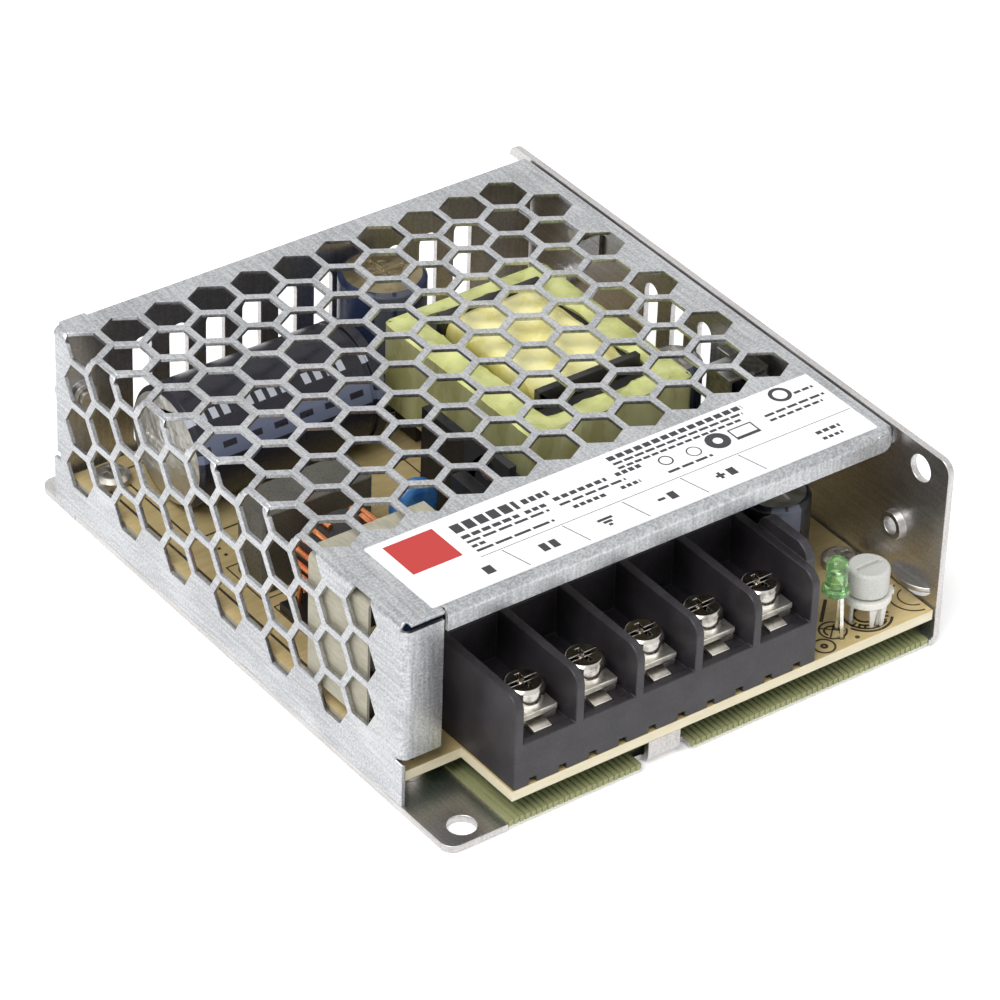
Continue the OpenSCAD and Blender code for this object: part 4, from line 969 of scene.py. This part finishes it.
def add_board_print():
    """Outlines of the parts, rings and short marks, screen-printed in dark brown; the arcs and
    strokes round the trimmer and the wide strip beside the lamp are drawn in the same dark ink.
    """
    parts = [ring_line(63.3, 2.2, 1.5, 0.3), ring_line(63.3, 2.2, 0.35, 0.4),
             ring_line(66.5, 4.3, 1.9, 0.26, 20, 340), ring_line(66.3, 4.2, 1.1, 0.3, -60, 200),
             line([(65.2, 3.2), (67.6, 5.4)]), line([(67.8, 3.3), (65.3, 5.6)]),
             ring_line(68.3, 1.3, 0.2, 0.3), ring_line(80.4, 4.3, 3.3, 0.26, 96, 262),
             # the last line here is a dark strip, half a millimetre wide, from (70.1, 10.3) to
             # (66.4, 6.7)
             ring_line(80.4, 4.3, 2.0, 0.22, 98, 262), line([(70.1, 10.3), (66.4, 6.7)], 0.5)]
    # dark arcs and short strokes round the trimmer, drawn in the same ink
    for radius, start, stop in ((3.7, 200, 320), (3.1, 150, 300), (2.4, 210, 400), (1.6, 20, 300)):
        parts.append(ring_line(*TRIMMER, radius, 0.4, start, stop))
    for k in range(9):
        turn = math.radians(200 + k * 17)
        c, s = math.cos(turn), math.sin(turn)
        parts.append(line([(TRIMMER[0] + 2.2 * c, TRIMMER[1] + 2.2 * s),
                           (TRIMMER[0] + 3.4 * c, TRIMMER[1] + 3.0 * s)], 0.34))
    parts += [line([(3.4, 13), (3.4, 88)], 0.4), line([(6.2, 29), (6.2, 38), (10.4, 40.6)], 0.3)]
    parts += box_line(7.2, 38.4, 21.8, 50.6) + box_line(6.8, 52.6, 26.2, 61.6)
    parts += box_line(28.6, 51.6, 35.8, 55.6) + box_line(41.8, 41.2, 72.4, 78.2)
    parts += box_line(6.6, 69.4, 42.4, 89.0, 0.3)
    parts += [ring_line(*place[:2], place[2] + 0.5, 0.3) for place in OUTPUT_CAPACITORS]
    parts += [ring_line(8.0, 23.4, 4.7, 0.25)]
    for k in range(11):
        x, y = 8.2 + 1.9 * (k % 6), 64.2 + 1.7 * (k // 6)
        parts.append(line([(x, y), (x + (1.2 if k % 3 else 0.5), y)], 0.5))
    for k in range(8):
        x, y = 27.5 + 1.6 * (k % 4), 44.0 + 2.0 * (k // 4)
        parts.append(line([(x, y), (x + 0.9, y)], 0.5))
    piece("board_print", parts, ink("brown_ink", (48, 38, 28), (88, 72, 50)), "case")
    red = [line([(76.2, 18.3), (77.3, 17.7)], 0.3), line([(79.1, 17.7), (79.9, 17.3)], 0.3)]
    piece("board_marks", red, ink("red_ink", (176, 66, 48), (196, 110, 84)), "case")


# ---------------------------------------------------------------- solder under the board
# x, y and radius of each joint
JOINTS = [(15.8 + 9.7 * k, 12.2, 1.5) for k in range(WAYS)] + [(x, y, 0.8) for x, y in (
    *LAMP_FEET, *TRIMMER_PINS, (49.4, 83.44), (49.4, 88.36), (75.8, 50.5),
    (75.8, 53.5), (66, 15.68), (66, 19.52), (9, 57), (24, 57), (29.7, 53.6), (34.7, 53.6),
    (22.9, 33.6), (27.9, 33.6), (13.1, 30.6), (18.1, 30.6), (8, 20.86), (8, 25.94))]
JOINTS += [(x, y, 1.05) for x in (48.3, 57.3, 66.3) for y in (45.2, 74.2)]
JOINTS += [(x, y, 1.05) for x in CHOKE_LEG_X for y in CHOKE_LEG_Y]
JOINTS += [(41, 75.45, 1.1), (41, 82.95, 1.1), (60, 27.5, 1.0), (60, 32.5, 1.0)]
JOINTS += [(33.3 + 3.8 * k, 33, 0.9) for k in range(4)]
JOINTS += [(x, y + 2.54 * k, 0.85) for x, y in ((36, 41.26), (74.6, 36.06)) for k in range(3)]
JOINTS += [(36.19 + 2.54 * k, y, 0.75) for k in range(4) for y in (20.19, 27.81)]
JOINTS += [(48.73 + 2.54 * k, y, 0.75) for k in range(2) for y in (32.19, 39.81)]


def add_solder():
    """A hollow-sided cone round each lead: its radius falls as the square of the way down."""
    tip, high = 0.42, 1.05
    t = np.linspace(0, 1, 7)
    parts = []
    for x, y, radius in JOINTS:
        out = tip + (radius - tip) * (1 - t) ** 2
        down = BOARD_BOTTOM - high * t
        profile = [(0, BOARD_BOTTOM + 0.02)] + list(zip(out, down)) + [(0, down[-1] - 0.02)]
        parts.append(turned(profile, (x, y), 14))
    piece("solder_joints", parts, solder(), "case")


# ---------------------------------------------------------------- stage
def make_stage():
    """A pale floor under soft studio light; what the camera sees behind it is plain white."""
    scene = bpy.context.scene
    scene.view_settings.view_transform = "Standard"
    world = bpy.data.worlds.new("studio")
    scene.world = world
    world.use_nodes = True
    tree = world.node_tree
    tree.nodes.clear()
    paths = tree.nodes.new("ShaderNodeLightPath")
    seen = Val(tree, paths.outputs["Is Camera Ray"])
    for kind in ("Is Glossy Ray", "Is Transmission Ray"):
        seen = seen.either(Val(tree, paths.outputs[kind]))
    strength = seen * (1 - WORLD_LIGHT) + WORLD_LIGHT
    back = tree.nodes.new("ShaderNodeBackground")
    back.inputs["Color"].default_value = (1, 1, 1, 1)
    tree.links.new(strength.socket, back.inputs["Strength"])
    out = tree.nodes.new("ShaderNodeOutputWorld")
    tree.links.new(back.outputs[0], out.inputs[0])

    mesh = bpy.data.meshes.new("floor")
    corners = [(out * FLOOR_HALF, across * FLOOR_HALF, 0)
               for out, across in ((-1, -1), (1, -1), (1, 1), (-1, 1))]
    mesh.from_pydata(corners, [], [(0, 1, 2, 3)])
    floor = bpy.data.objects.new("floor", mesh)
    floor.location.z = -FLOOR_DOWN
    scene.collection.objects.link(floor)
    white = Look("floor_white", (250, 250, 250), 0.9)
    white.set("Emission Color", linear(255, 255, 255))
    white.set("Emission Strength", FLOOR_GLOW)
    mesh.materials.append(white.material)

    for lamp in LAMPS:
        add_light(*lamp)


make_camera()
make_stage()
copper, nickel = finish_solids()
add_threads(nickel)
add_choke_turns(copper)
add_winding_wrap()
add_core_band()
add_lamp_frame(plated("bright_wire", (236, 236, 230), (206, 206, 200), 0.25))
add_trimmer_legs(moulded("prong_white", (228, 227, 222), (208, 206, 200), 0.4))
add_board_print()
add_solder()
